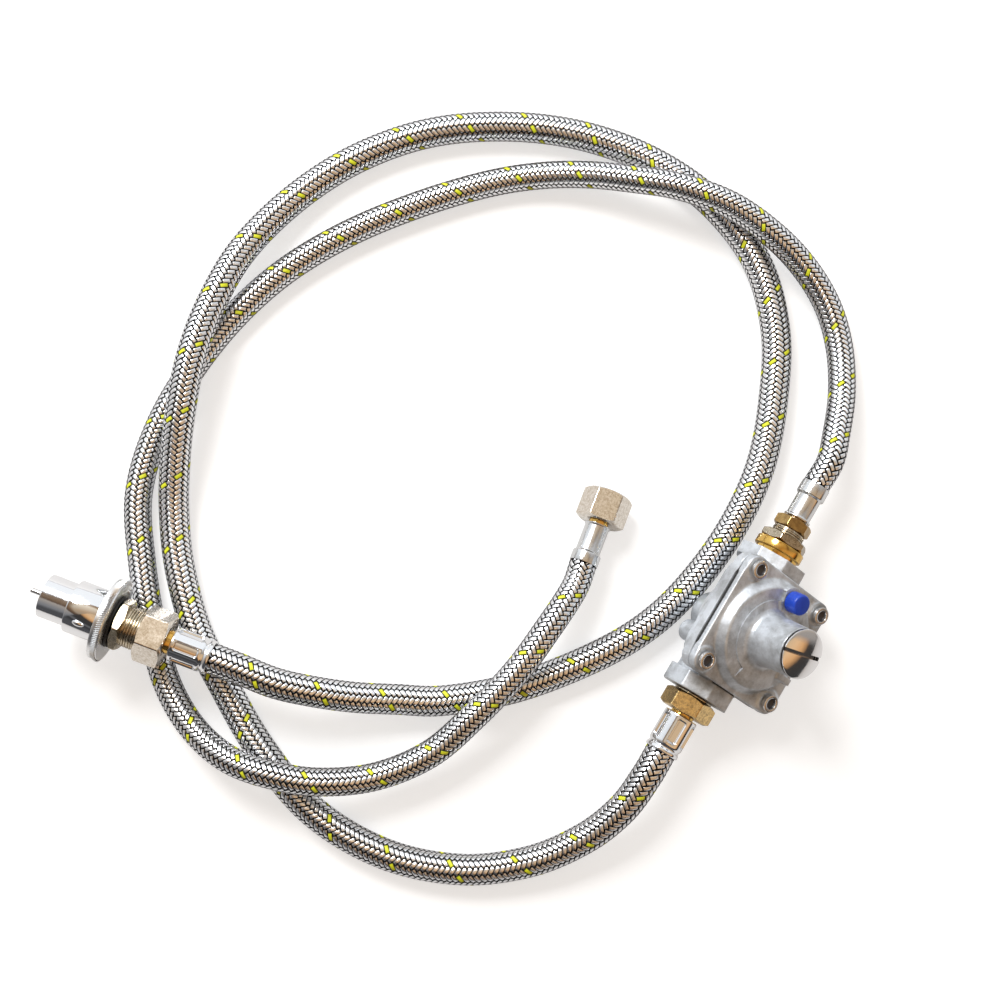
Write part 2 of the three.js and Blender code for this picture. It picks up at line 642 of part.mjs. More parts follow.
function plugBody() {
  const barrel = solid(turned([
    [0, pinOut], [barrelRadius - 1, pinOut], [barrelRadius, pinOut + 1], [barrelRadius, barrelEnd + 0.1],
    [sleeveRadius - 0.4, barrelEnd + 0.1], [sleeveRadius, barrelEnd + 0.6], [sleeveRadius, sleeveEnd],
    [plugNeck, sleeveEnd], [plugNeck, plugHexStart - fit], [0, plugHexStart - fit],
  ], 32));
  const lugs = [0, Math.PI].map((angle) =>
    solid(new THREE.SphereGeometry(1, 8, 6).scale(1.1, 1.3, 2.6)
      .translate(sleeveRadius - 0.3, 0, barrelEnd + sleeveLength / 2).rotateZ(angle + 0.5)));
  const recess = solid(rod(7.4, pinOut - overcut, pinOut + 3, 20));
  const pinHole = solid(rod(pinRadius + fit, pinOut, gasBoreStart + overcut, 12));
  const gasBore = solid(rod(portBore, gasBoreStart, plugHexStart + overcut, 20));
  const passages = [0, 1, 2, 3].map((i) =>
    solid(rod(1.3, pinOut + 2, gasBoreStart + overcut, 8).translate(4.9, 0, 0).rotateZ((i * Math.PI) / 2)));
  return cut(join(barrel, ...lugs), recess, pinHole, gasBore, ...passages);
}

function plugPin() {
  const head = gasBoreStart + fit;
  return solid(turned([
    [0, 0], [pinRadius - 0.5, 0], [pinRadius, 0.5], [pinRadius, head], [pinRadius + 1.6, head],
    [pinRadius + 1.6, head + 2], [0, head + 2],
  ], 14));
}

function plugFlange() {
  const start = sleeveEnd + fit;
  const inner = plugNeck + fit;
  return solid(turned([
    [inner, start], [discFlange - 0.7, start], [discFlange, start + 0.7], [discFlange, flangeEnd - 0.7],
    [discFlange - 0.7, flangeEnd], [washerRadius + fit, flangeEnd],
    [washerRadius + fit, flangeEnd - washerSunk - fit], [inner, flangeEnd - washerSunk - fit],
    [inner, start],
  ], 40));
}

function plugWasher() {
  return solid(tube(washerRadius, plugNeck + fit, flangeEnd - washerSunk, plugHexStart - fit, 28));
}

function plugAdapter() {
  const spigot = solid(rod(portBore - fit, plugHexStart - spigotLength, plugHexStart + 0.1));
  const hex = hexagon(plugHex, plugHexStart, plugHexEnd, { spin: plugHexSpin });
  const thread = solid(rod(plugThread, plugHexEnd - 0.1, plugThreadEnd));
  const bore = solid(rod(tailA - tailWall, plugHexStart - spigotLength - overcut, plugThreadEnd + overcut, 14));
  return join(spigot, hex, thread).subtract(bore);
}

// ---- free end chain, measured from the nut's mouth toward the hose ------------------------------
const flareFloor = flareLength - 3;
const freeFerruleStart = flareLength + freeNeck;
const freeEnd = freeFerruleStart + freeSleeve + freeCollar;

function flareNut() {
  const hex = hexagon(flareHex, 0, flareLength);
  const bore = solid(turned([
    [0, -overcut], [flareBore + 1.6, -overcut], [flareBore, 0.8], [flareBore, flareFloor], [0, flareFloor],
  ], 24));
  const hole = solid(rod(tailB + fit, flareFloor - overcut, flareLength + overcut, 20));
  return cut(hex, bore, hole);
}

function hoseBTailFree() {
  const top = flareFloor - fit;
  const head = solid(turned([
    [0, top - flareHeadLength - 1.6], [tailB, top - flareHeadLength - 1.6],
    [flareHead, top - flareHeadLength + 0.4], [flareHead, top], [0, top],
  ], 24));
  const barb = solid(rod(tailB, top - 0.1, freeEnd - 1, 14));
  const bore = solid(rod(tailB - tailWall, 0, freeEnd + overcut, 12));
  return join(head, barb).subtract(bore);
}

// ---- hoses ---------------------------------------------------------------------------------------
function hose(points, radius, steps) {
  const path = new THREE.CatmullRomCurve3(points, false, "catmullrom", 0.5);
  const section = polygon(hoseSides, 2 * radius * Math.cos(Math.PI / hoseSides));
  return solid(new THREE.ExtrudeGeometry(section, { steps, bevelEnabled: false, extrudePath: path }));
}

// ---- put the regulator together --------------------------------------------------------------------
place(regulator, "regulator_body", regulatorBody(), castAluminium);
place(regulator, "regulator_cover", regulatorCover(), castAluminium);
place(regulator, "diaphragm", diaphragmSheet(), blackRubber);
place(regulator, "diaphragm_plate", diaphragmPlate(), steel);
place(regulator, "valve_stem", valveStem(), brass);
place(regulator, "valve_disc", valveDisc(), blackRubber);
place(regulator, "main_spring", mainSpring(), steel);
place(regulator, "adjusting_screw", adjustingScrew(), turnedAluminium);
place(regulator, "seal_cap", sealCap(), turnedAluminium);
place(regulator, "seal_cap_gasket", sealGasket(), blackRubber);
place(regulator, "vent_plug", ventPlug(), bluePlastic);
screwPlaces.forEach((spot, i) => {
  const { made, x, y } = coverScrew(spot);
  place(regulator, `cover_screw_${i + 1}`, made, steel).position.set(x, y, 0);
});

function chain(side) {
  const group = new THREE.Group();
  group.position.set(0, side > 0 ? outletFace : -portFace, -portDepth);
  group.rotation.x = (-side * Math.PI) / 2;
  regulator.add(group);
  return group;
}

const outlet = chain(1);
place(outlet, "outlet_ring", outletRing(), brass);
place(outlet, "outlet_bush", outletBush(), nickel);
place(outlet, "hose_b_tail_outlet", hoseBTailOutlet(), brass);
place(outlet, "hose_b_ferrule_outlet", smoothFerrule(outletSleeveStart, 12.4, outletSleeve - 12.4, true), steel);

const inlet = chain(-1);
place(inlet, "inlet_adapter", inletAdapter(), nickel);
const inletNut = swivelNut(inletNutHex, inletNutStart, inletNutLength, adapterThread, tailA, 0.28);
place(inlet, "inlet_nut", inletNut, nickel);
place(inlet, "hose_a_tail_inlet", flangedTail(inletNutEnd, adapterThread, tailA, tailWall, inletEnd), brass);
place(inlet, "hose_a_ferrule_inlet", windowedFerrule(inletFerruleStart), chrome);

// The casting's lowest edge stands on the surface.
regulator.updateMatrixWorld(true);
const standing = new THREE.Box3().setFromObject(regulator.children[0], true);
regulator.position.z = -standing.min.z;

// ---- the plug -------------------------------------------------------------------------------------
const plug = new THREE.Group();
plug.position.set(...plugTip);
plug.rotation.set(0, Math.PI / 2 - plugPitch, plugHeading, "ZYX");
assembly.add(plug);
place(plug, "plug_pin", plugPin(), steel);
place(plug, "plug_body", plugBody(), chrome);
place(plug, "plug_flange", plugFlange(), chrome);
place(plug, "plug_washer", plugWasher(), blackRubber);
place(plug, "plug_adapter", plugAdapter(), nickel);
place(plug, "union_nut", swivelNut(unionHex, unionPlace, unionLength, plugThread, tailA, unionSpin), nickel);
place(plug, "hose_a_tail_plug", flangedTail(unionEnd, plugThread, tailA, tailWall, plugEnd), brass);
place(plug, "hose_a_ferrule_plug", windowedFerrule(plugFerruleStart), chrome);

// ---- the free end ---------------------------------------------------------------------------------
const free = new THREE.Group();
free.position.set(freeMouth[0], freeMouth[1], (flareHex / 2) * Math.cos(freePitch) + floorGap);
free.rotation.set(0, Math.PI / 2 - freePitch, freeHeading, "ZYX");
assembly.add(free);
place(free, "flare_nut", flareNut(), nickel);
place(free, "hose_b_tail_free", hoseBTailFree(), brass);
place(free, "hose_b_ferrule_free", smoothFerrule(freeFerruleStart, freeSleeve, freeCollar, false), steel);

// ---- the hoses, from ferrule to ferrule -----------------------------------------------------------
assembly.updateMatrixWorld(true);

function leads(group, end) {
  const at = (distance) => group.localToWorld(new THREE.Vector3(0, 0, end + fit + distance));
  return [at(0), at(leadLength)];
}

function throughPoints(start, route, finish) {
  return [...start, ...route.map((p) => new THREE.Vector3(...p)), ...[...finish].reverse()];
}

const pathA = throughPoints(leads(plug, plugEnd), routeA, leads(inlet, inletEnd));
const pathB = throughPoints(leads(outlet, outletEnd), routeB, leads(free, freeEnd));
place(assembly, "hose_a", hose(pathA, hoseA, stepsA), braid);
place(assembly, "hose_b", hose(pathB, hoseB, stepsB), braid);

// ---- origin: middle of the regulator and its own fittings, on the surface --------------------------
const onCords = /^(hose_|plug_|union_|flare_|inlet_nut)/;
const own = new THREE.Box3();
assembly.updateMatrixWorld(true);
assembly.traverse((node) => {
  if (node.isMesh && !onCords.test(node.name)) own.expandByObject(node, true);
});
assembly.position.set(-(own.min.x + own.max.x) / 2, -(own.min.y + own.max.y) / 2, -own.min.z);

const group = new THREE.Group();
group.add(assembly);
export default group;
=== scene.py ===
# %% [markdown]
# # A gas regulator with two braided hoses
#
# The object is a pressure regulator of cast aluminium. A wire-braided hose is screwed to each
# of its ports. One hose ends in a plug that snaps into a socket, the other in a flare nut.
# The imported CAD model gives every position. This lesson adds what a solid can't show: the
# woven wire, soft cast edges, threads, a knurl, and metals that look worked.

# %% Load the frame
import json
import math

import bpy
import numpy as np
from mathutils import Matrix, Vector
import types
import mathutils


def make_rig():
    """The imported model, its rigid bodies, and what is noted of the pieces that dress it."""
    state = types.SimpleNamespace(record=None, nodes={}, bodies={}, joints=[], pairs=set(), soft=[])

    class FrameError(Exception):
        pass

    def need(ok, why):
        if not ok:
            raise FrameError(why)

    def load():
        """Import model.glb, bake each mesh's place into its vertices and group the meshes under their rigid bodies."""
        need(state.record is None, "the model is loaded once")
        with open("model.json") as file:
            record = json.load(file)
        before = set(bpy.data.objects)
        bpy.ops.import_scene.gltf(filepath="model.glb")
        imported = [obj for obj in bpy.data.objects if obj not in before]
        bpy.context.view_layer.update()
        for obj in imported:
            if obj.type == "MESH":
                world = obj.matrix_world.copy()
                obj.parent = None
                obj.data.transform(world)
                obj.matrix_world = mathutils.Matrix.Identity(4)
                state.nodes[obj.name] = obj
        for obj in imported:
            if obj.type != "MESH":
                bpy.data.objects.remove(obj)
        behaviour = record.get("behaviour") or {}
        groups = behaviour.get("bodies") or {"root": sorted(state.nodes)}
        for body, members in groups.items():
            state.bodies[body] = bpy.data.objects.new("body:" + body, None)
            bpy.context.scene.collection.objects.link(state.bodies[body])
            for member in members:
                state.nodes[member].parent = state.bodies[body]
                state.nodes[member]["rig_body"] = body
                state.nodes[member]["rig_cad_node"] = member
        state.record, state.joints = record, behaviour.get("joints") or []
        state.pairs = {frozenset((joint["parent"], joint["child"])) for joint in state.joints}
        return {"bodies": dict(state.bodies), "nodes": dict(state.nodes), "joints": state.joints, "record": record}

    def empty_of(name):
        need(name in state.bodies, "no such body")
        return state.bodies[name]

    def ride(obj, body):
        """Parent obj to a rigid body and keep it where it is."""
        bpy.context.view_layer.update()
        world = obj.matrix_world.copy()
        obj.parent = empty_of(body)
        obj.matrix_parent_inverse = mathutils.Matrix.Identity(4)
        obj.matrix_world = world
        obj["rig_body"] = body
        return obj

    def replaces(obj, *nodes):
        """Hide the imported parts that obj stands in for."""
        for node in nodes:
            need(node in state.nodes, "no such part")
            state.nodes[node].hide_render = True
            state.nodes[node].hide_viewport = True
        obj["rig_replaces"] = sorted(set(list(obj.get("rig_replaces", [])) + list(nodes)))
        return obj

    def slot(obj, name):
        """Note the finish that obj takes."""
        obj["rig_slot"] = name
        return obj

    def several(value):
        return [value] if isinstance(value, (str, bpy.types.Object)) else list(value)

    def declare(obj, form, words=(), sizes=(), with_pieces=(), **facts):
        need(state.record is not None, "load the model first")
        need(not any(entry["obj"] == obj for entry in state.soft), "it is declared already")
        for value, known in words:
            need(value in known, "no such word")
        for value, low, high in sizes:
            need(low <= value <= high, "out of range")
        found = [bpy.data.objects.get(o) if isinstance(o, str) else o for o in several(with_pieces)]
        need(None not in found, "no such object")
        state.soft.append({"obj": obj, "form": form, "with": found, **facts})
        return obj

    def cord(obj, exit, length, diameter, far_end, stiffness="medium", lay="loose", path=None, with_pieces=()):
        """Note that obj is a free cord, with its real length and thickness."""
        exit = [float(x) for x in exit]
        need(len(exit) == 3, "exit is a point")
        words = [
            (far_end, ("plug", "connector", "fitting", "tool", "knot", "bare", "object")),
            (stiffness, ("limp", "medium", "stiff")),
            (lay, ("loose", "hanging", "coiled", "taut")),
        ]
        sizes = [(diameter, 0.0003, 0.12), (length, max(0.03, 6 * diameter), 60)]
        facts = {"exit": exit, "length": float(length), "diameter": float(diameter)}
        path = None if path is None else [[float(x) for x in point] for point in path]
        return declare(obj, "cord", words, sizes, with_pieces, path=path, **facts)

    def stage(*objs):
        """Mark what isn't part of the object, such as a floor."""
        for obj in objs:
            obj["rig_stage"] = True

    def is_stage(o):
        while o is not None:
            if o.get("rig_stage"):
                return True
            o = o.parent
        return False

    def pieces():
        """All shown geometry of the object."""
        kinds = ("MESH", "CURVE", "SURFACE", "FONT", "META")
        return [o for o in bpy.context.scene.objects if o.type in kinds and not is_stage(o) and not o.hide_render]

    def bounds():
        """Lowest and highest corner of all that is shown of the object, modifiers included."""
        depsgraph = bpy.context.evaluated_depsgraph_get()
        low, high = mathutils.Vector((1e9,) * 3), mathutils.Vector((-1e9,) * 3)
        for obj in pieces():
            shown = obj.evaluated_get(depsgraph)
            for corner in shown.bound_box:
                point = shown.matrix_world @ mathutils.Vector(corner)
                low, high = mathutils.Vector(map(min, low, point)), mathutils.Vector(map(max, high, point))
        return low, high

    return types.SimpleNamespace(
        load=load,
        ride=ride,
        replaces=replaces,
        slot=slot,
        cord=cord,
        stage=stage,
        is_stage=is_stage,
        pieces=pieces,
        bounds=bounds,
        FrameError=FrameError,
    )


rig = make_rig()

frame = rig.load()
cad_box = [list(corner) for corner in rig.bounds()]
joints = {joint["name"]: joint for joint in frame["record"]["behaviour"]["joints"]}
print("nodes:", len(frame["nodes"]), "bodies:", len(frame["bodies"]))

# %% [markdown]
# Four small things are done again and again: putting new data in the scene, turning what an
# object's modifiers make into a plain mesh, giving a mesh its one finish, and saying how many
# triangles a piece has.

# %% Small helpers


def placed(name, data):
    """Puts new data in the scene as an object at the origin."""
    made = bpy.data.objects.new(name, data)
    bpy.context.scene.collection.objects.link(made)
    return made


def plain_mesh(name, source):
    """What an object's curve settings and modifiers make, as a mesh of its own."""
    bpy.context.view_layer.update()
    graph = bpy.context.evaluated_depsgraph_get()
    mesh = bpy.data.meshes.new_from_object(source.evaluated_get(graph), depsgraph=graph)
    mesh.name = name
    return mesh


def dressed(mesh, finish):
    mesh.materials.clear()
    mesh.materials.append(finish.material)


def report(piece):
    print(piece.name, "triangles:", sum(len(face.vertices) - 2 for face in piece.data.polygons))
    return piece


# %% [markdown]
# ## Places
#
# A fitting is modelled standing up on its own axis, in millimetres, and is then laid where
# the CAD model has it. Each chain of fittings has one such place. The axes of the three
# swivel nuts give the places, so nothing is measured twice.

# %% Places of the chains
MM = 0.001
tilt = math.radians(35.5)          # how far the cover leans over
port_depth = 16                    # port axis below the cover joint
inlet_face, outlet_face = 40, 38   # port faces from the middle
union_reach, flare_reach = 65, 8   # from the pin tip or the nut's mouth to the nut's middle


def axis_of(name):
    joint = joints[name]
    return Vector(joint["pos_m"]) / MM, Vector(joint["axis"]).normalized()


def standing_on(start, axis):
    heading, lean = math.atan2(axis.y, axis.x), math.acos(axis.z)
    return Matrix.Translation(start) @ Matrix.Rotation(heading, 4, "Z") @ Matrix.Rotation(lean, 4, "Y")


port_point, _ = axis_of("inlet_nut_turn")
cap_point, _ = axis_of("cap_turn")
home = Vector((port_point.x + port_depth * math.sin(tilt), cap_point.y, 0))
lifted = home + Vector((0, 0, port_point.z + port_depth * math.cos(tilt)))
regulator_place = Matrix.Translation(lifted) @ Matrix.Rotation(tilt, 4, "Y")


def port_place(face, side):
    return (regulator_place @ Matrix.Translation((0, side * face, -port_depth))
            @ Matrix.Rotation(-side * math.pi / 2, 4, "X"))


outlet_place = port_place(outlet_face, 1)
inlet_place = port_place(inlet_face, -1)
union_point, plug_axis = axis_of("union_nut_turn")
plug_place = standing_on(union_point - union_reach * plug_axis, plug_axis)
nut_point, free_axis = axis_of("flare_nut_turn")
free_place = standing_on(nut_point - flare_reach * free_axis, free_axis)
print("middle of the regulator:", [round(v, 2) for v in lifted])

# %% [markdown]
# ## Camera
#
# The view is almost straight down, turned a little, from about 0.7 m. It is set first,
# because the hoses have to lie where this view shows them.

# %% Camera
view_turn, view_rise, view_reach = math.radians(31.2), math.radians(83.6), 715
right = Vector((math.cos(view_turn), math.sin(view_turn), 0))
flat_up = Vector((-math.sin(view_turn), math.cos(view_turn), 0))
away = Vector((math.sin(view_turn) * math.cos(view_rise), -math.cos(view_turn) * math.cos(view_rise),
               math.sin(view_rise)))
aim = home + Vector((-141.6, -4.9, 0))
camera_data = bpy.data.cameras.new("camera")
camera_data.lens, camera_data.sensor_width = 50, 36
camera = placed("camera", camera_data)
camera.location = (aim + view_reach * away) * MM
camera.rotation_euler = Matrix((right, away.cross(right), away)).transposed().to_euler()
bpy.context.scene.camera = camera
print("camera at", [round(v, 4) for v in camera.location])

# %% [markdown]
# ## Hose routes
#
# Each hose lies in a loose loop, on the table and over the other hose. A few points
# give the line, and a smooth curve runs through them. The points repeat the CAD
# model's route, seen from the middle of the regulator. A curve through points has handles
# one sixth of the way between its neighbours, which is the same curve that the CAD model has.

# %% Route points
route_a = [
    (-187.8, -141.4, 26), (-170.5, -135.8, 22.5), (-152.2, -128.2, 17), (-134, -118.6, 12), (-112, -106, 9),
    (-84, -81, 8), (-58, -47, 8), (-43, -18, 8), (-35.5, 12, 8), (-33, 45, 8),
    (-36.5, 78, 8), (-47.5, 110, 8), (-65, 143, 8), (-92, 170, 8), (-128, 185, 8),
    (-166, 188, 8), (-204, 181, 8), (-240, 165, 8), (-273, 141, 8), (-298, 110, 8),
    (-314, 75, 9.2), (-321, 37, 14.5), (-318, 4, 21), (-311, -25, 24), (-301, -52, 21.5),
    (-291, -75, 15.5), (-279, -97, 10), (-262, -119, 8), (-238, -141, 8), (-210, -158, 8),
    (-177, -175, 8), (-139, -187, 8), (-99, -186, 8), (-63, -173, 8.6), (-36, -152, 10.5),
    (-19, -128, 15), (-11, -106, 20.5),
]
route_b = [
    (-13, 109, 20.5), (-20, 130, 14), (-32, 151, 10), (-48, 167, 10.5), (-68, 177, 14.8),
    (-91, 182, 20.5), (-118, 183, 24.4), (-145, 178, 24.2), (-167, 171, 19.5), (-189, 163, 13.5),
    (-211, 151, 9), (-233, 133, 7.3), (-258, 105, 7.3), (-281, 73, 7.3), (-298, 40, 7.3),
    (-308, 6, 7.3), (-312, -30, 7.3), (-310, -66, 7.3), (-300, -99, 7.3), (-279, -128, 7.3),
    (-256.5, -153, 7.3), (-236, -171, 9), (-213, -182, 14), (-189, -185, 20.5), (-166, -180, 24.4),
    (-144, -171, 22.4), (-122, -155, 18), (-105, -132, 18.4), (-96, -105, 22.8), (-89.5, -76, 24.8),
    (-87, -50, 22.8),
]
hose_a_radius, hose_b_radius = 7.7, 7.0
gap = 0.3                          # clearance between seated pieces
lead = 14                          # straight length where a hose leaves a ferrule

# %% [markdown]
# ## Fitting lengths
#
# Lengths along each chain, counted from the port face, the pin tip or the nut's mouth. They
# are the CAD model's sizes, so every piece made here fills the place of its solid.

# %% Fitting lengths
thick_ferrule = 20
ring_end = gap + 7
bush_start = ring_end + gap
bush_shoulder = bush_start + 4.6
bush_end = bush_shoulder + 3.5
outlet_hex_start = bush_end + gap
outlet_hex_end = outlet_hex_start + 5.7
outlet_sleeve_start = outlet_hex_end + 1
outlet_end = outlet_sleeve_start + 19.6
collar_end = gap + 0.9
adapter_end = collar_end + 4.6
inlet_nut_start = collar_end + gap
inlet_nut_end = inlet_nut_start + 9.4
inlet_ferrule_start = inlet_nut_end + 1.2
inlet_end = inlet_ferrule_start + thick_ferrule
pin_out = 7.6
barrel_end = pin_out + 14.4
sleeve_end = barrel_end + 16.2
flange_end = sleeve_end + 5.3
washer_end = flange_end + 1.3
plug_hex_start = washer_end + gap
plug_hex_end = plug_hex_start + 4.9
thread_end = plug_hex_end + 16.2
union_start = 57.6
union_end = union_start + 14
plug_ferrule_start = union_end + 2.3
plug_end = plug_ferrule_start + thick_ferrule
flare_end = 15.8
free_ferrule_start = flare_end + 1.5
free_step = free_ferrule_start + 14.6
free_end = free_step + 6.3


def leads(place, end):
    return [place @ Vector((0, 0, end + gap + step)) for step in (0, lead)]


def route(start, points, finish):
    return leads(*start) + [home + Vector(point) for point in points] + leads(*finish)[::-1]


path_a = route((plug_place, plug_end), route_a, (inlet_place, inlet_end))[::-1]
path_b = route((outlet_place, outlet_end), route_b, (free_place, free_end))
print("points:", len(path_a), len(path_b))

# %% Centrelines


def centreline(name, points):
    curve = bpy.data.curves.new(name, "CURVE")
    curve.dimensions = "3D"
    curve.resolution_u = 12
    spline = curve.splines.new("BEZIER")
    last = len(points) - 1
    spline.bezier_points.add(last)
    for i, (knot, point) in enumerate(zip(spline.bezier_points, points)):
        before = points[i - 1] if i else 2 * points[0] - points[1]
        after = points[i + 1] if i < last else 2 * points[last] - points[last - 1]
        knot.co = point * MM
        knot.handle_left = (point - (after - before) / 6) * MM
        knot.handle_right = (point + (after - before) / 6) * MM
    return placed(name, curve)


def line_points(line):
    evaluated = line.evaluated_get(bpy.context.evaluated_depsgraph_get())
    points = [vertex.co.copy() for vertex in evaluated.to_mesh().vertices]
    evaluated.to_mesh_clear()
    return points


def measure(points):
    return sum((b - a).length for a, b in zip(points, points[1:]))


line_a, line_b = centreline("line_a", path_a), centreline("line_b", path_b)
bpy.context.view_layer.update()
points_a, points_b = line_points(line_a), line_points(line_b)
length_a, length_b = measure(points_a), measure(points_b)
print("hose lengths in metres:", round(length_a, 3), round(length_b, 3))

# %% [markdown]
# ## Nodes in a script
#
# Finishes, repeated shapes and the studio are all small trees of nodes. One builder serves
# them all: it adds a node, and gives each input a plain value or links it to another node.

# %% A node builder


class Nodes:
    def __init__(self, tree):
        self.nodes, self.links = tree.nodes, tree.links

    def set(self, node, label, value):
        if isinstance(value, bpy.types.NodeSocket):
            self.links.new(value, node.inputs[label])
        else:
            node.inputs[label].default_value = value

    def node(self, kind, inputs=None, **settings):
        made = self.nodes.new(kind)
        for key, value in settings.items():
            setattr(made, key, value)
        for label, value in (inputs or {}).items():
            self.set(made, label, value)
        return made

    def out(self, kind, inputs=None, **settings):
        return self.node(kind, inputs, **settings).outputs[0]

    def maths(self, operation, first, second=0.0):
        return self.out("ShaderNodeMath", {0: first, 1: second}, operation=operation)

    def plus(self, first, second):
        return self.maths("ADD", first, second)

    def times(self, first, second):
        return self.maths("MULTIPLY", first, second)

    def along(self, vector, direction):
        """How far a vector points in a direction."""
        made = self.node("ShaderNodeVectorMath", {0: vector, 1: direction}, operation="DOT_PRODUCT")
        return made.outputs["Value"]

    def spread(self, value, low, high, start=0.3, end=0.7):
        return self.out("ShaderNodeMapRange", {"Value": value, "From Min": start, "From Max": end,
                                               "To Min": low, "To Max": high})

    def ramp(self, value, stops):
        """A colour that follows a value: stops are pairs of a place and a colour."""
        made = self.node("ShaderNodeValToRGB", {"Fac": value})
        elements = made.color_ramp.elements
        while len(elements) < len(stops):
            elements.new(0.5)
        for element, (place, colour) in zip(elements, stops):
            element.position, element.color = place, (*colour, 1)
        return made.outputs["Color"]


# %% [markdown]
# ## Finishes
#
# A finish is a small node tree round one Principled shader. Real metal is never one flat
# value: its gloss wanders, a cast skin has grain, a turned face has fine rings. Noise on
# object coordinates gives the wander and the grain. Rings and wires read an attribute that
# the mesh carries along its own profile, so they follow the piece and not the room.

# %% A finish builder


class Finish(Nodes):
    def __init__(self, name, colour, metallic=1.0, roughness=0.3, **sockets):
        self.material = bpy.data.materials.new(name)
        self.material.use_nodes = True
        super().__init__(self.material.node_tree)
        self.shader = self.nodes["Principled BSDF"]
        first = {"Base_Color": (*colour, 1), "Metallic": metallic, "Roughness": roughness}
        for label, value in (first | sockets).items():
            self.set(self.shader, label.replace("_", " "), value)
        self.place = self.node("ShaderNodeTexCoord").outputs["Object"]
        self.normal = None
        print("finish:", name)

    def noise(self, scale, detail=3.0, roughness=0.6):
        return self.out("ShaderNodeTexNoise", {"Vector": self.place, "Scale": scale, "Detail": detail,
                                               "Roughness": roughness})

    def attribute(self, name):
        return self.node("ShaderNodeAttribute", attribute_name=name).outputs["Fac"]

    def colour(self, value, dark, light, start=0.3, end=0.7):
        self.set(self.shader, "Base Color", self.ramp(value, [(start, dark), (end, light)]))

    def roughness(self, value):
        self.set(self.shader, "Roughness", value)

    def bump(self, height, distance, strength=1.0):
        inputs = {"Height": height, "Distance": distance, "Strength": strength}
        if self.normal is not None:
            inputs["Normal"] = self.normal
        self.normal = self.out("ShaderNodeBump", inputs)
        self.set(self.shader, "Normal", self.normal)

    def wave(self, attribute, rate, depth):
        """Even ridges along an attribute of the mesh, such as turning marks or wires."""
        self.bump(self.maths("SINE", self.times(self.attribute(attribute), rate)), depth)


# %% Metal finishes


gloss_scale, grain_scale = 160, 420
fine_grain, coarse_grain = 0.00001, 0.00002
turning_pitch, turning_depth = 0.35, 0.000006


def plated(name, tone, low, high, grain=fine_grain):
    """Smooth metal of one tone, whose gloss wanders between two values."""
    made = Finish(name, tone, roughness=low)
    made.roughness(made.spread(made.noise(gloss_scale), low, high))
    made.bump(made.noise(grain_scale, 2), grain)
    return made


def speckled(name, high, scale, dark, light):
    """Nickel that has worn or dulled in sharp little speckles."""
    made = plated(name, light, 0.14, high, coarse_grain)
    made.colour(made.noise(scale, 4, 0.8), dark, light, 0.34, 0.6)
    return made


def clouded(name, low, high, scale, dark, light):
    """Bare brass, whose tone wanders in soft clouds."""
    made = plated(name, light, low, high)
    made.colour(made.noise(scale), dark, light)
    return made


chrome = plated("chrome", (0.86, 0.87, 0.89), 0.05, 0.12)
nickel = speckled("nickel", 0.24, 800, (0.56, 0.48, 0.38), (0.86, 0.81, 0.74))
dull_nickel = speckled("dull_nickel", 0.24, 700, (0.34, 0.28, 0.19), (0.66, 0.58, 0.45))
worn_nickel = speckled("worn_nickel", 0.26, 600, (0.34, 0.25, 0.13), (0.86, 0.6, 0.26))
brass = clouded("brass", 0.12, 0.22, 160, (0.6, 0.33, 0.06), (0.86, 0.58, 0.18))
aged_brass = clouded("aged_brass", 0.14, 0.26, 260, (0.3, 0.19, 0.08), (0.6, 0.42, 0.17))
sleeve_steel = plated("sleeve_steel", (0.72, 0.73, 0.74), 0.14, 0.24)
sleeve_steel.wave("turning", 2 * math.pi / turning_pitch, turning_depth)
turned_aluminium = plated("turned_aluminium", (0.9, 0.9, 0.91), 0.05, 0.1)
satin_nickel = plated("satin_nickel", (0.84, 0.85, 0.86), 0.24, 0.34, coarse_grain)
screw_steel = plated("screw_steel", (0.7, 0.7, 0.7), 0.18, 0.3)
# A near-black steel for the faces inside the driver sockets: painted shade for the dark inside of a socket.
painted_socket_shade = plated("painted_socket_shade", (0.09, 0.09, 0.1), 0.35, 0.5, 0.00003)

# %% [markdown]
# Die-cast aluminium is tumbled after casting. Its skin is pale grey with a fine sandy grain,
# small pits, and darker patches where the tumbling media didn't reach. Noise of several
# scales makes the grain and the patches, and a cell pattern makes the pits.

# %% Cast aluminium
patch_scale, gloss_patch_scale, sand_scale, skin_scale, pit_scale = 60, 220, 1500, 330, 260.0
cast = Finish("cast_aluminium", (0.62, 0.62, 0.63), metallic=0.6, roughness=0.42)
cast.colour(cast.noise(patch_scale, 5, 0.7), (0.29, 0.3, 0.31), (0.64, 0.68, 0.73), 0.34, 0.6)
cast.roughness(cast.spread(cast.noise(gloss_patch_scale), 0.34, 0.55))
cast.bump(cast.noise(sand_scale), 0.00005)
cast.bump(cast.noise(skin_scale, 2), 0.00016, 0.7)
pits = cast.out("ShaderNodeTexVoronoi", {"Vector": cast.place, "Scale": pit_scale})
cast.bump(cast.spread(pits, 0.0, 1.0, 0.02, 0.14), 0.00012, 0.6)

# %% Rubber and plastic finishes
rubber = Finish("black_rubber", (0.012, 0.012, 0.013), 0.0, 0.6)
rubber.bump(rubber.noise(900, 2), 0.00003)
vent_blue = Finish("vent_blue", (0.006, 0.045, 0.42), 0.0, 0.36)
vent_blue.colour(vent_blue.noise(140), (0.004, 0.034, 0.36), (0.008, 0.06, 0.5))
vent_blue.bump(vent_blue.noise(700, 2), 0.00004)
liner = Finish("hose_liner", (0.008, 0.008, 0.009), 0.0, 0.6, Specular_IOR_Level=0.1)
liner.bump(liner.noise(800, 2), 0.00003)
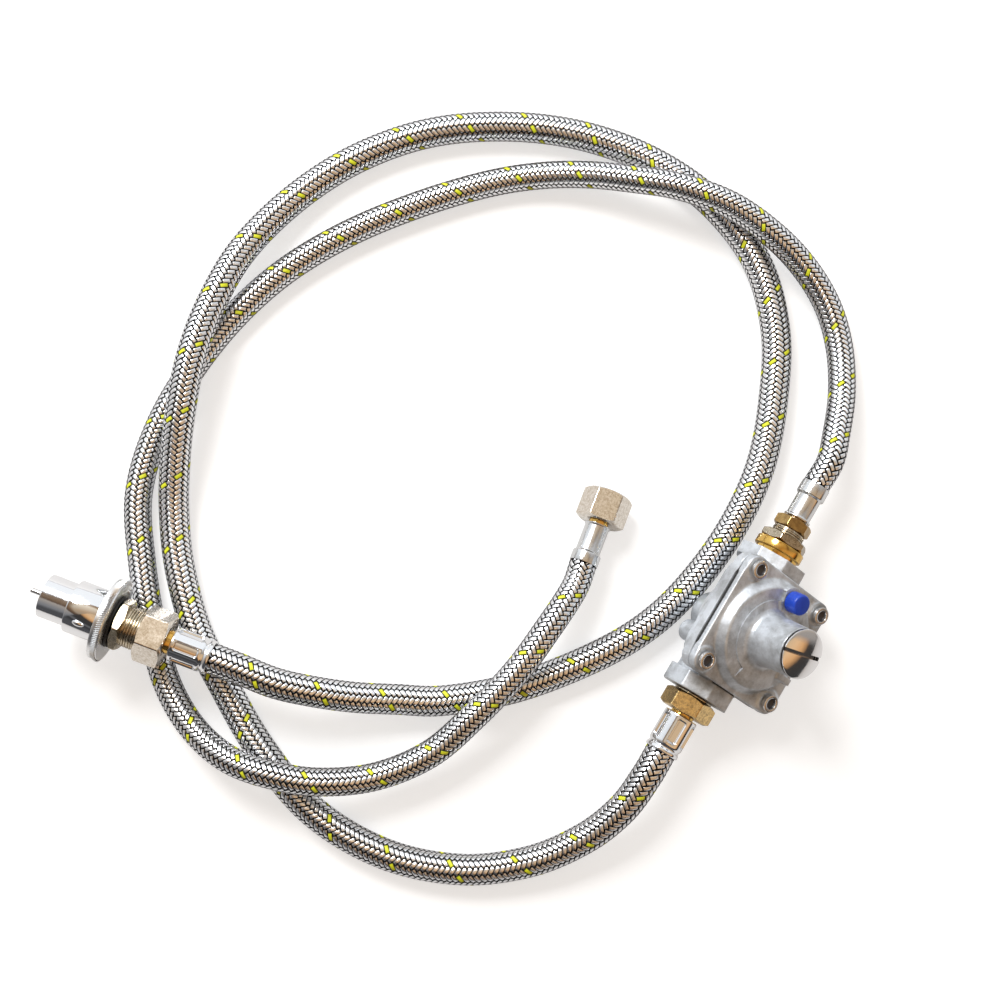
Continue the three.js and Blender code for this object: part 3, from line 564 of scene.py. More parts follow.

# %% [markdown]
# The braid is stainless wire. Each band in the weave is a flat bundle of thin wires side by
# side. The mesh carries "across", which runs from one edge of a band to the other, and a sine
# of it draws the wires. The colour is painted shade: it darkens along a band's edges and where
# the band dips under the others. One band of the weave is a yellow tracer yarn.

# %% Braid finishes
wire_depth = 0.00002


def banded(name, colour, metallic, roughness, wires, dark, light, **sockets):
    made = Finish(name, colour, metallic, roughness, **sockets)
    made.wave("across", wires * math.pi, wire_depth)
    # Painted shade: the colour goes dark towards a band's edges and where the band dips under the others.
    edge = made.maths("POWER", made.maths("ABSOLUTE", made.attribute("across")), 3.0)
    low = made.spread(made.attribute("rise"), 1.0, 0.0, -0.3, 0.7)
    made.colour(made.maths("MAXIMUM", edge, low), light, dark, 0.22, 0.4)
    return made


# The dark colour given to each band is the painted shade at its edges and dips, on the steel and on the tracer yarn.
braid_steel = banded("braid_steel", (0.82, 0.83, 0.85), 1.0, 0.22, 4,
                     (0.006, 0.006, 0.007), (0.93, 0.94, 0.96), Specular_Tint=(0.4, 0.4, 0.42, 1))
braid_steel.roughness(braid_steel.spread(braid_steel.noise(300), 0.2, 0.3))
tracer_yarn = banded("tracer_yarn", (0.62, 0.66, 0.02), 0.0, 0.5, 8,
                     (0.03, 0.035, 0.004), (0.66, 0.7, 0.02))

# %% [markdown]
# ## Geometry Nodes in a script
#
# A repeated thing is made once by rule. This builder writes a Geometry Nodes tree with named
# inputs, runs it on one object, keeps the result as a plain mesh and takes the tree off
# again, so what is left is ordinary geometry.

# %% A tree builder


class Tree(Nodes):
    def __init__(self, name, **sizes):
        self.group = bpy.data.node_groups.new(name, "GeometryNodeTree")
        super().__init__(self.group)
        face = self.group.interface
        face.new_socket("Geometry", in_out="INPUT", socket_type="NodeSocketGeometry")
        for label, kind in sizes.items():
            face.new_socket(label, in_out="INPUT", socket_type="NodeSocket" + kind)
        face.new_socket("Geometry", in_out="OUTPUT", socket_type="NodeSocketGeometry")
        self.size = self.node("NodeGroupInput").outputs
        self.result = self.node("NodeGroupOutput")

    def vector(self, operation, first, second):
        return self.out("ShaderNodeVectorMath", {0: first, 1: second}, operation=operation)

    def scaled(self, vector, factor):
        return self.out("ShaderNodeVectorMath", {0: vector, "Scale": factor}, operation="SCALE")

    def xyz(self, **parts):
        return self.out("ShaderNodeCombineXYZ", parts)

    def laid(self, geometry, **change):
        return self.out("GeometryNodeTransform", {"Geometry": geometry} | change)

    def stored(self, geometry, name, value, kind="FLOAT"):
        return self.out("GeometryNodeStoreNamedAttribute",
                        {"Geometry": geometry, "Name": name, "Value": value},
                        data_type=kind, domain="POINT")

    def read(self, name, kind="FLOAT"):
        return self.out("GeometryNodeInputNamedAttribute", {"Name": name}, data_type=kind)

    def swept(self, line, outline):
        return self.out("GeometryNodeCurveToMesh",
                        {"Curve": line, "Profile Curve": outline, "Fill Caps": True})

    def finished(self, geometry, *finishes):
        """Each finish is a material and the choice of faces that take it, or None for all."""
        real = self.out("GeometryNodeRealizeInstances", {"Geometry": geometry})
        for finish, choice in finishes:
            chosen = {} if choice is None else {"Selection": choice}
            real = self.out("GeometryNodeSetMaterial",
                            {"Geometry": real, "Material": finish.material} | chosen)
        self.links.new(real, self.result.inputs[0])
        return self


def run_tree(name, source, tree, keep_source=False, **values):
    modifier = source.modifiers.new(name, "NODES")
    modifier.node_group = tree.group
    for item in tree.group.interface.items_tree:
        if item.item_type == "SOCKET" and item.in_out == "INPUT" and item.name in values:
            modifier[item.identifier] = values[item.name]
    source.update_tag()
    mesh = plain_mesh(name, source)
    source.modifiers.remove(modifier)
    if not keep_source:
        bpy.data.objects.remove(source)
    return report(placed(name, mesh))


# %% [markdown]
# ## The wire braid
#
# A braiding machine lays two families of bands round the hose, one turning right and one
# turning left. Each band passes over two and under two of the other family, which gives the
# herringbone look. The tree copies the hose's centreline once for each band, pushes every
# point out along a helix, and lets it rise and dip in step with the crossings.
#
# With n bands each way, a band meets a new one 2n times in a turn, so the dip follows
# 2n * length / pitch, and neighbouring bands are half a step apart.

# %% Braid tree
wave_height = 1.3                  # a wave cut off at 1 stays flat on top of two bands
crest_widening = 0.13              # a band spreads where it rides over the others


def braid_tree(name, hand, offset, marked):
    tree = Tree(name, Radius="Float", Pitch="Float", Lift="Float", Width="Float", Thickness="Float",
                Bands="Int", Samples="Int", First="Int")
    size, plus, times, maths = tree.size, tree.plus, tree.times, tree.maths
    line = tree.out("GeometryNodeResampleCurve", {"Curve": size["Geometry"], "Count": size["Samples"]})
    copies = tree.node("GeometryNodeDuplicateElements",
                       {"Geometry": line, "Amount": maths("DIVIDE", size["Bands"], 2)}, domain="SPLINE")
    number = plus(times(copies.outputs["Duplicate Index"], 2), size["First"])
    length = tree.node("GeometryNodeSplineParameter").outputs["Length"]
    turns = maths("DIVIDE", length, size["Pitch"])
    angle = times(plus(times(turns, hand), maths("DIVIDE", number, size["Bands"])), 2 * math.pi)
    normal = tree.out("GeometryNodeInputNormal")
    side = tree.vector("CROSS_PRODUCT", tree.out("GeometryNodeInputTangent"), normal)
    outward = tree.vector("ADD", tree.scaled(normal, maths("COSINE", angle)),
                          tree.scaled(side, maths("SINE", angle)))
    crossings = times(turns, times(size["Bands"], 2 * hand))
    phase = maths("SUBTRACT", plus(crossings, times(number, 2)), offset)
    wave = times(maths("COSINE", times(phase, math.pi / 2)), wave_height)
    wave = maths("MAXIMUM", maths("MINIMUM", wave, 1.0), -1.0)
    bands = tree.stored(copies.outputs["Geometry"], "outward", outward, "FLOAT_VECTOR")
    bands = tree.stored(bands, "marked", maths("COMPARE", number, 0.0))
    bands = tree.stored(bands, "rise", wave)
    outward = tree.read("outward", "FLOAT_VECTOR")
    reach = plus(size["Radius"], times(wave, size["Lift"]))
    bands = tree.out("GeometryNodeSetPosition", {"Geometry": bands, "Offset": tree.scaled(outward, reach)})
    bands = tree.out("GeometryNodeSetCurveNormal", {"Curve": bands, "Normal": outward}, mode="FREE")
    spread = plus(times(tree.read("rise"), crest_widening), 1.0)
    bands = tree.out("GeometryNodeSetCurveRadius", {"Curve": bands, "Radius": spread})
    ring = tree.out("GeometryNodeCurvePrimitiveCircle", {"Resolution": 6, "Radius": 1.0})
    ring = tree.laid(ring, Rotation=(0, 0, math.pi / 6))
    spot = tree.node("ShaderNodeSeparateXYZ", {0: tree.out("GeometryNodeInputPosition")})
    ring = tree.stored(ring, "across", spot.outputs["Y"])
    flat = tree.xyz(X=times(size["Thickness"], 0.5), Y=times(size["Width"], 0.5), Z=1.0)
    ring = tree.laid(ring, Scale=flat)
    smooth = tree.out("GeometryNodeSetShadeSmooth", {"Geometry": tree.swept(bands, ring)})
    tracer = [(tracer_yarn, maths("GREATER_THAN", tree.read("marked"), 0.5))] if marked else []
    return tree.finished(smooth, (braid_steel, None), *tracer)


right_tree = braid_tree("right_hand_braid", 1, 0.5, True)
left_tree = braid_tree("left_hand_braid", -1, 2.5, False)

# %% Weave both hoses
braid_pitch = 33 * MM
bands_each_way = 12
samples_a_turn = 56
band_overlap = 1.12                # a band is a little wider than its share of the hose
band_lift, band_thickness = 0.3 * MM, 0.5 * MM


def braided(line, length, radius, name):
    around = 2 * math.pi * radius * MM
    sizes = {
        "Radius": radius * MM - band_lift - band_thickness / 2, "Pitch": braid_pitch, "Lift": band_lift,
        "Width": band_overlap * around / bands_each_way * math.cos(math.atan(around / braid_pitch)),
        "Thickness": band_thickness, "Bands": bands_each_way,
        "Samples": int(samples_a_turn * length / braid_pitch),
    }
    return [run_tree(f"{name}_braid_{hand}_{first}", line, tree, True, First=first, **sizes)
            for hand, tree in (("right", right_tree), ("left", left_tree)) for first in (0, 1)]


braid_a = braided(line_a, length_a, hose_a_radius, "hose_a")
braid_b = braided(line_b, length_b, hose_b_radius, "hose_b")

# %% [markdown]
# ## The rubber hose inside
#
# Between the bands a little of the black liner shows, and it gives the braid its dark
# outline. It is a plain tube along the same line, just under the wires.

# %% Liner tubes
under_braid = 0.95


def liner_tube(name, line, radius):
    line.data.bevel_depth = (radius - under_braid) * MM
    line.data.bevel_resolution = 4
    line.data.use_fill_caps = True
    mesh = plain_mesh(name, line)
    bpy.data.objects.remove(line)
    dressed(mesh, liner)
    return report(placed(name, mesh))


core_a = liner_tube("hose_a_core", line_a, hose_a_radius)
core_b = liner_tube("hose_b_core", line_b, hose_b_radius)

# %% [markdown]
# ## Turned pieces
#
# Nearly every fitting comes off a lathe, and is then milled to a hexagon. So one helper makes
# them all: it stacks rings of points along an axis and skins them. A ring has a radius that
# may change round the axis, which gives hexagons, chamfers and pressed windows without any
# cutting. Small rounds on each corner catch the light as real edges do.

# %% Stacked rings
sharp_edge = math.radians(38)
least_corner = math.radians(12)    # a corner flatter than this isn't rounded
most_share = 0.45                  # how much of a side one corner's round may take


def even_angles(sides):
    return np.linspace(0, 2 * math.pi, sides, endpoint=False)


def circle(radius, height, angles, shift=(0, 0)):
    return [(radius * math.cos(a) + shift[0], radius * math.sin(a) + shift[1], height) for a in angles]


def smoothed(mesh, finish, edge):
    dressed(mesh, finish)
    mesh.polygons.foreach_set("use_smooth", [True] * len(mesh.polygons))
    mesh.set_sharp_from_angle(angle=edge)


def skinned(name, rings, place, finish, hollow=True):
    """rings: lists of equally many points, outside first, in the fitting's own frame."""
    count = len(rings[0])
    points = [place @ Vector(point) * MM for ring in rings for point in ring]
    faces, turning, total = [], [], 0.0
    one = count // 3               # the way along the profile is measured at this point
    for i, ring in enumerate(rings):
        if i:
            total += (Vector(ring[one]) - Vector(rings[i - 1][one])).length
        turning += [total] * count
    for i in range(len(rings) if hollow else len(rings) - 1):
        j = (i + 1) % len(rings)
        for k in range(count):
            m = (k + 1) % count
            faces.append((i * count + k, i * count + m, j * count + m, j * count + k))
    if not hollow:
        faces.append(tuple(range(count))[::-1])
        faces.append(tuple((len(rings) - 1) * count + k for k in range(count)))
    mesh = bpy.data.meshes.new(name)
    mesh.from_pydata(points, [], faces)
    mesh.attributes.new("turning", "FLOAT", "POINT").data.foreach_set("value", turning)
    smoothed(mesh, finish, sharp_edge)
    mesh.validate()
    return report(placed(name, mesh))


def softened(profile, size, closed):
    """Rounds each corner of a [radius, height] profile with three points."""
    points = [Vector(point) for point in profile]
    soft = []
    for i, corner in enumerate(points):
        before, after = points[i - 1], points[(i + 1) % len(points)]
        into, out = corner - before, after - corner
        turn = into.angle(out, 0.0) if into.length and out.length else 0.0
        if turn < least_corner or not closed and i in (0, len(points) - 1):
            soft.append(corner)
            continue
        step = min(size, into.length * most_share, out.length * most_share)
        start, finish = corner - into.normalized() * step, corner + out.normalized() * step
        for t in (0.0, 0.5, 1.0):
            soft.append(start * (1 - t) ** 2 + corner * 2 * t * (1 - t) + finish * t ** 2)
    return [tuple(point) for point in soft]


def turned(name, profile, place, finish, sides=72, size=0.25, shift=(0, 0), hollow=True):
    """A lathe piece. A hollow one has a closed profile that keeps off the axis, and a solid
    one has a profile that starts and ends near the axis."""
    rings = [circle(radius, height, even_angles(sides), shift)
             for radius, height in softened(profile, size, hollow)]
    return skinned(name, rings, place, finish, hollow)


# %% [markdown]
# A nut's chamfer is a cone that cuts each flat in a low arch. At a given angle the flat lies
# at half the width over the cosine, and the cone meets it a little further down as the
# radius grows towards a corner. Putting one ring exactly on that meeting line makes the arch.

# %% Hexagon pieces
one_flat = [math.radians(degrees) for degrees in (-29.0, -28.0, -20.0, -10.0, 0.0, 10.0, 20.0, 28.0, 29.0)]
chamfer_share = 0.965              # the end face's width as a share of the width over flats
chamfer_slope = math.tan(math.pi / 6)
edge_round = 0.15


def nut(name, width, low, high, inner, place, finish, spin=0.0, size=0.2):
    """A hexagon with a bore: inner is a [radius, height] profile from the top down to the bottom."""
    angles = [math.radians(60 * k) + a + spin for k in range(6) for a in one_flat]
    reach = [width / 2 / math.cos(a) for a in one_flat] * 6
    face = width / 2 * chamfer_share
    drop = [(r - face) * chamfer_slope for r in reach]

    def arched(heights):
        return [(r * math.cos(a), r * math.sin(a), z) for r, a, z in zip(reach, angles, heights)]

    rings = [circle(face, low, angles), arched([low + d for d in drop]),
             arched([low + d + edge_round for d in drop]), arched([high - d - edge_round for d in drop]),
             arched([high - d for d in drop]), circle(face, high, angles)]
    rings += [circle(radius, height, angles) for radius, height in softened(inner, size, False)]
    return skinned(name, rings, place, finish)


# %% [markdown]
# ## Outlet fittings
#
# A brass ring seals against the casting, a nickel bush screws into the port, and the hose
# tail screws into the bush. A smooth steel sleeve is crimped over the hose and the tail.

# %% Outlet pieces
stub_end = -9                      # how deep a fitting goes into its port
thin_bore, thin_barb = 3.1, 4.9    # the tails of hose B
thick_bore, thick_barb = 4.1, 5.9  # the tails of hose A
stub_radius = 7.2

outlet_ring = turned("outlet_seal_ring", [
    (7.8, gap), (11.1, gap), (11.1, 2.7), (12.4, 3.2), (12.4, ring_end), (7.8, ring_end),
], outlet_place, brass)
outlet_bush = nut("outlet_bush_hexagon", 21.8, bush_start, bush_shoulder, [
    (8.0, bush_shoulder), (8.0, bush_end), (7.0, bush_end), (7.0, bush_start + 1.5),
    (thin_barb, bush_start + 1.5), (thin_barb, stub_end), (stub_radius, stub_end), (stub_radius, bush_start),
], outlet_place, dull_nickel, 0.12)
outlet_tail = nut("outlet_hose_tail", 16.8, outlet_hex_start, outlet_hex_end, [
    (thin_barb, outlet_hex_end), (thin_barb, outlet_end - 1), (thin_bore, outlet_end - 1),
    (thin_bore, bush_start + 1.8), (6.7, bush_start + 1.8), (6.7, outlet_hex_start),
], outlet_place, aged_brass)


def stepped_sleeve(name, start, step, end, place, lip, lip_height):
    return turned(name, [
        (5.2, start), (lip, start), (lip, start + lip_height), (6.2, start + lip_height + 0.4),
        (6.2, step), (7.3, step + 0.9), (7.3, end), (5.2, end),
    ], place, sleeve_steel)


outlet_sleeve = stepped_sleeve("outlet_ferrule", outlet_sleeve_start, outlet_sleeve_start + 12.4, outlet_end,
                               outlet_place, 7.0, 0.9)
print("outlet chain ends at", round(outlet_end, 1))

# %% [markdown]
# ## Windowed ferrules
#
# The thicker hose has chromed ferrules with six long windows pressed into the wall. The ring
# helper already lets the radius change round the axis, so a window is a smooth dip in it.

# %% Windowed ferrule
ferrule_radius, ferrule_bore = 8.6, 6.2
window_from, window_to = 1.9, 14.4
window_half_width, window_corner = 2.45, 1.2
window_depth, window_edge = 1.15, 0.55


def windowed_ferrule(name, start, place):
    end = start + thick_ferrule
    low, high = start + window_from, start + window_to
    angles = even_angles(192)

    def outline(height):
        waist = 0.75 * math.exp(-((height - (end - 2.9)) / 0.9) ** 2)
        entry = 0.5 * max(0.0, 1 - (height - start) / 0.6) ** 2
        exit_round = 0.35 * max(0.0, 1 - (end - height) / 0.5) ** 2
        return ferrule_radius - waist - entry - exit_round

    def pressed(height, angle):
        offset = (angle + math.pi / 6) % (math.pi / 3) - math.pi / 6
        across = abs(offset) * ferrule_radius - (window_half_width - window_corner)
        length = abs(height - (low + high) / 2) - ((high - low) / 2 - window_corner)
        outside = math.hypot(max(across, 0), max(length, 0)) + min(max(across, length), 0) - window_corner
        t = min(max(-outside / window_edge, 0.0), 1.0)
        return window_depth * t * t * (3 - 2 * t)

    rings = []
    for height in np.linspace(start, end, 64):
        radii = [outline(height) - pressed(height, a) for a in angles]
        rings.append([(r * math.cos(a), r * math.sin(a), height) for r, a in zip(radii, angles)])
    for radius, height in ((ferrule_bore + 0.1, end), (ferrule_bore, end - 0.2),
                           (ferrule_bore, start + 0.2), (ferrule_bore + 0.1, start)):
        rings.append(circle(radius, height, angles))
    return skinned(name, rings, place, chrome)


inlet_ferrule = windowed_ferrule("inlet_ferrule", inlet_ferrule_start, inlet_place)
plug_ferrule = windowed_ferrule("plug_ferrule", plug_ferrule_start, plug_place)

# %% [markdown]
# ## Inlet and plug fittings
#
# A swivel nut is loose on the hose tail, whose flange it pulls against the seat. The plug has
# a smooth barrel with a pin, a wider sleeve with lugs, and a broad grip ring.

# %% Inlet pieces
nut_lip = 2.1                      # the lip of a swivel nut that pulls on the tail's flange


def swivel_tail(name, nut_end, flange, end, place):
    top = nut_end - 2.4
    return turned(name, [
        (thick_bore, top - 2), (flange, top - 2), (flange, top), (thick_barb, top), (thick_barb, end - 1),
        (thick_bore, end - 1),
    ], place, brass)


def swivel_bore(radius, start, end):
    return [(6.2, end), (6.2, end - nut_lip), (radius, end - nut_lip), (radius, start)]


inlet_adapter = turned("inlet_port_adapter", [
    (thick_bore, stub_end), (stub_radius, stub_end), (stub_radius, gap), (10, gap), (10, collar_end),
    (7.8, collar_end), (7.8, adapter_end), (thick_bore, adapter_end),
], inlet_place, dull_nickel)
inlet_nut = nut("inlet_swivel_nut", 23.4, inlet_nut_start, inlet_nut_end,
                swivel_bore(8.5, inlet_nut_start, inlet_nut_end), inlet_place, worn_nickel, 0.28)
inlet_tail = swivel_tail("inlet_hose_tail", inlet_nut_end, 8.2, inlet_end, inlet_place)

# %% Plug pieces
barrel_radius, sleeve_radius, grip_radius, washer_radius = 10.9, 13.2, 20.4, 12.9
neck_radius = 9.2                  # the plug's own neck, inside the grip ring and the washer
mouth_radius, throat_radius = 7.4, 7.5
pin_radius, pin_hole = 1.3, 1.7
adapter_radius = 9.8

plug_pin = turned("plug_centre_pin", [
    (0.02, 0), (pin_radius, 0), (pin_radius, pin_out + 18), (0.02, pin_out + 18),
], plug_place, screw_steel, 32, 0.4, hollow=False)
plug_barrel = turned("plug_barrel", [
    (pin_hole, pin_out + 3), (mouth_radius, pin_out + 3), (mouth_radius, pin_out), (barrel_radius, pin_out),
    (barrel_radius, barrel_end), (sleeve_radius, barrel_end), (sleeve_radius, sleeve_end), (8.9, sleeve_end),
    (8.9, plug_hex_start - gap), (throat_radius, plug_hex_start - gap), (throat_radius, barrel_end + 2),
    (pin_hole, barrel_end + 2),
], plug_place, chrome, 96, 0.6)
plug_washer = turned("plug_ring_washer", [
    (neck_radius, flange_end - 0.6), (washer_radius, flange_end - 0.6), (washer_radius, washer_end),
    (neck_radius, washer_end),
], plug_place, rubber, 96)
plug_grip = turned("plug_grip_ring", [
    (neck_radius, sleeve_end + gap), (grip_radius, sleeve_end + gap), (grip_radius, flange_end),
    (washer_radius + gap, flange_end), (washer_radius + gap, flange_end - 0.9),
    (neck_radius, flange_end - 0.9),
], plug_place, satin_nickel, 144, 0.6)
plug_adapter = nut("plug_thread_adapter", 23.6, plug_hex_start, plug_hex_end, [
    (adapter_radius, plug_hex_end), (adapter_radius, thread_end), (thick_bore, thread_end),
    (thick_bore, plug_hex_start + stub_end), (stub_radius, plug_hex_start + stub_end),
    (stub_radius, plug_hex_start),
], plug_place, dull_nickel, -0.323, 0.25)
union_nut = nut("plug_union_nut", 25.2, union_start, union_end, swivel_bore(10.6, union_start, union_end),
                plug_place, nickel, -0.167)
plug_tail = swivel_tail("plug_hose_tail", union_end, 10.3, plug_end, plug_place)
print("plug chain ends at", round(plug_end, 1))

# %% [markdown]
# ## Free end
#
# The flare nut is open at the mouth, with the flared head of the tail seen deep inside.

# %% Free end pieces
flare_floor = flare_end - 3
flare_nut = nut("free_flare_nut", 22.2, 0, flare_end, [
    (5.2, flare_end), (5.2, flare_floor), (8.0, flare_floor), (8.0, 0.9), (9.4, 0),
], free_place, nickel)
free_tail = turned("free_hose_tail", [
    (thin_bore, flare_floor - 4), (thin_barb, flare_floor - 4), (7.6, flare_floor - 2),
    (7.6, flare_floor - 0.3), (thin_barb, flare_floor - 0.3), (thin_barb, free_end - 1),
    (thin_bore, free_end - 1),
], free_place, brass)
free_sleeve = stepped_sleeve("free_ferrule", free_ferrule_start, free_step, free_end, free_place, 6.75, 0.6)
print("free chain ends at", round(free_end, 1))

# %% [markdown]
# ## Threads
#
# A thread is a ridge swept along a spiral. The tree takes the root radius, the pitch and the
# number of turns, sweeps a small three-sided ridge, and lifts it to where the stub begins.

# %% Thread tree
ridge_share = 0.52                 # the ridge's radius as a share of the pitch
root_depth = 0.1                   # how far the ridge is sunk in the stub


def thread_tree():
    tree = Tree("screw_thread", Radius="Float", Pitch="Float", Turns="Float", Start="Float")
    size = tree.size
    spiral = tree.out("GeometryNodeCurveSpiral", {
        "Resolution": 48, "Rotations": size["Turns"], "Start Radius": size["Radius"],
        "End Radius": size["Radius"], "Height": tree.times(size["Pitch"], size["Turns"])})
    ridge = tree.out("GeometryNodeCurvePrimitiveCircle",
                     {"Resolution": 3, "Radius": tree.times(size["Pitch"], ridge_share)})
    raised = tree.laid(tree.swept(spiral, ridge), Translation=tree.xyz(Z=size["Start"]))
    return tree.finished(raised, (dull_nickel, None))


def laid(piece, place):
    """Moves a piece made in metres on its own axis to its place, in its mesh."""
    metres = place.copy()
    metres.translation = place.translation * MM
    piece.data.transform(metres)
    piece.data.update()
    return piece


def seed():
    return placed("seed", bpy.data.meshes.new("seed"))


spiral_tree = thread_tree()


def thread(name, radius, pitch, start, end, place):
    made = run_tree(name, seed(), spiral_tree, Radius=(radius - root_depth) * MM, Pitch=pitch * MM,
                    Turns=(end - start) / pitch, Start=start * MM)
    return laid(made, place)


bush_thread = thread("outlet_bush_thread", 8.0, 1.1, bush_shoulder + 0.6, bush_end - 0.5, outlet_place)
plug_thread = thread("plug_adapter_thread", adapter_radius, 1.4, plug_hex_end + 0.9, thread_end - 1,
                     plug_place)
inlet_thread = thread("inlet_adapter_thread", 7.8, 1.4, collar_end + 0.8, adapter_end - 0.8, inlet_place)

# %% [markdown]
# ## Knurl and lugs
#
# The grip ring's rim is cut with fine slanted ridges so that a gloved hand can turn it. One
# ridge is copied round a circle and leaned over.

# %% Knurl tree


def knurl_tree():
    tree = Tree("knurled_rim", Radius="Float", Width="Float", Size="Float", Lean="Float", Count="Int",
                Start="Float")
    size = tree.size
    rim = tree.out("GeometryNodeCurvePrimitiveCircle",
                   {"Resolution": size["Count"], "Radius": size["Radius"]})
    spots = tree.out("GeometryNodeCurveToPoints", {"Curve": rim}, mode="EVALUATED")
    box = tree.out("GeometryNodeMeshCube",
                   {"Size": tree.xyz(X=size["Size"], Y=size["Size"], Z=size["Width"])})
    ridge = tree.laid(box, Rotation=tree.xyz(X=size["Lean"], Z=math.pi / 4))
    spot = tree.node("ShaderNodeSeparateXYZ", {0: tree.out("GeometryNodeInputPosition")}).outputs
    facing = tree.xyz(Z=tree.maths("ARCTAN2", spot["Y"], spot["X"]))
    copies = tree.out("GeometryNodeInstanceOnPoints",
                      {"Points": spots, "Instance": ridge, "Rotation": facing})
    raised = tree.laid(copies, Translation=tree.xyz(Z=size["Start"]))
    return tree.finished(raised, (satin_nickel, None))


grip_middle = (sleeve_end + gap + flange_end) / 2
ridge_size, ridge_lean, ridge_count = 0.5, 0.5, 132
plug_knurl = laid(run_tree("plug_grip_knurl", seed(), knurl_tree(), Radius=grip_radius * MM,
                           Width=4.3 * MM, Size=ridge_size * MM, Lean=ridge_lean, Count=ridge_count,
                           Start=grip_middle * MM),
                  plug_place)

# %% Lugs
lug_half_width, lug_height, lug_half_length = 1.6, 1.4, 3.1
lug_reach, lug_middle, lug_turn = 12.9, 8.1, 0.5


def lug(name, angle):
    spot = (plug_place @ Matrix.Rotation(angle, 4, "Z")
            @ Matrix.Translation((lug_reach, 0, barrel_end + lug_middle)))
    rings = [[(lug_height * math.cos(t) * math.cos(a), lug_half_width * math.cos(t) * math.sin(a),
               lug_half_length * math.sin(t)) for a in even_angles(28)]
             for t in np.linspace(-0.5 * math.pi, 0.5 * math.pi, 14)[1:-1]]
    return skinned(name, rings, spot, chrome, hollow=False)


lugs = [lug("plug_lug_near", lug_turn), lug("plug_lug_far", lug_turn + math.pi)]

# %% [markdown]
# ## Casting
#
# A die casting has no sharp inner corner: metal flows, so walls meet in small rounds. The
# shapes are overlapped as plain solids, then remeshed into one skin with small cells, which
# welds them, and smoothed a little, which leaves the rounds. Sharp cuts come after that.

# %% Solid helpers


def scratch(points, faces, along_y=False):
    """A solid to weld or to cut with. One that lies along the ports is turned over first."""
    if along_y:
        points = [(x, z, -y - port_depth) for x, y, z in points]
    mesh = bpy.data.meshes.new("scratch")
    mesh.from_pydata(points, [], faces)
    return placed("scratch", mesh)


def column(outline, low, high, along_y=False):
    """A prism over a closed outline of (x, y) points, counter-clockwise."""
    count = len(outline)
    points = [(x, y, z) for z in (low, high) for x, y in outline]
    faces = [tuple(range(count))[::-1], tuple(range(count, 2 * count))]
    faces += [(i, (i + 1) % count, count + (i + 1) % count, count + i) for i in range(count)]
    return scratch(points, faces, along_y)


def spun(profile, sides=96, shift=(0, 0), along_y=False):
    """A solid of revolution from [radius, height] points, first and last on the axis."""
    points = [(*shift, profile[0][1]), (*shift, profile[-1][1])]
    for radius, height in profile[1:-1]:
        points += circle(radius, height, even_angles(sides), shift)
    faces = []
    top = 2 + (len(profile) - 3) * sides
    for k in range(sides):
        m = (k + 1) % sides
        faces.append((0, 2 + m, 2 + k))
        for row in range(2, top, sides):
            faces.append((row + k, row + m, row + sides + m, row + sides + k))
        faces.append((1, top + k, top + m))
    return scratch(points, faces, along_y)


def drum(radius, low, high, shift=(0, 0), along_y=False, sides=48):
    return spun([(0, low), (radius, low), (radius, high), (0, high)], sides, shift, along_y)


def arc(radius, angles, middle=(0, 0)):
    return [(middle[0] + radius * math.cos(a), middle[1] + radius * math.sin(a)) for a in angles]


def rounded_square(half, corner):
    outline = []
    for k, (x, y) in enumerate(((1, -1), (1, 1), (-1, 1), (-1, -1))):
        angles = [-math.pi / 2 + k * math.pi / 2 + t for t in np.linspace(0, math.pi / 2, 10)]
        outline += arc(corner, angles, (x * (half - corner), y * (half - corner)))
    return outline


def octagon(flats):
    return arc(flats / 2 / math.cos(math.pi / 8), [(i + 0.5) * math.pi / 4 for i in range(8)])


# %% Weld, cut and finish
weld_smoothing = 4


def applied(made, kind, **settings):
    modifier = made.modifiers.new("step", kind)
    for key, value in settings.items():
        setattr(modifier, key, value)
    bpy.context.view_layer.objects.active = made
    bpy.ops.object.modifier_apply(modifier="step")


def melted(name, solids, cell):
    bpy.ops.object.select_all(action="DESELECT")
    for solid in solids:
        solid.select_set(True)
    made = bpy.context.view_layer.objects.active = solids[0]
    bpy.ops.object.join()
    made.name = made.data.name = name
    applied(made, "REMESH", mode="VOXEL", voxel_size=cell)
    applied(made, "SMOOTH", factor=0.5, iterations=weld_smoothing)
    return made


def cut_away(made, *tools):
    for tool in tools:
        applied(made, "BOOLEAN", operation="DIFFERENCE", solver="MANIFOLD", object=tool)
        bpy.data.objects.remove(tool)


def settle(made):
    made.data.transform(Matrix.Scale(MM, 4) @ regulator_place)
    smoothed(made.data, cast, math.radians(40))
    return report(made)


# %% [markdown]
# The flanges meet only at their corners. The black diaphragm fills the middle, and its edge
# shows as a dark line on each side, so each corner gets a pad that almost closes the joint.

# %% Lower casting
joint_gap, pad_gap = 0.9, 0.15
flange_half, flange_corner = 31, 7
screw_half = 24.8
pad_radius = 36.3
port_flats, port_start, port_bore = 34, 31.3, 7.5
screw_hole = 2.4


def corner_pads(low, high):
    start = math.atan2(math.sqrt(pad_radius ** 2 - flange_half ** 2), flange_half)
    corner = flange_half - flange_corner
    outline = arc(flange_corner, np.linspace(0, math.pi / 2, 12), (corner, corner))
    outline += arc(pad_radius, np.linspace(math.pi / 2 - start, start, 12))
    turns = [quarter * math.pi / 2 for quarter in range(4)]
    return [column([(x * math.cos(q) - y * math.sin(q), x * math.sin(q) + y * math.cos(q))
                    for x, y in outline], low, high) for q in turns]


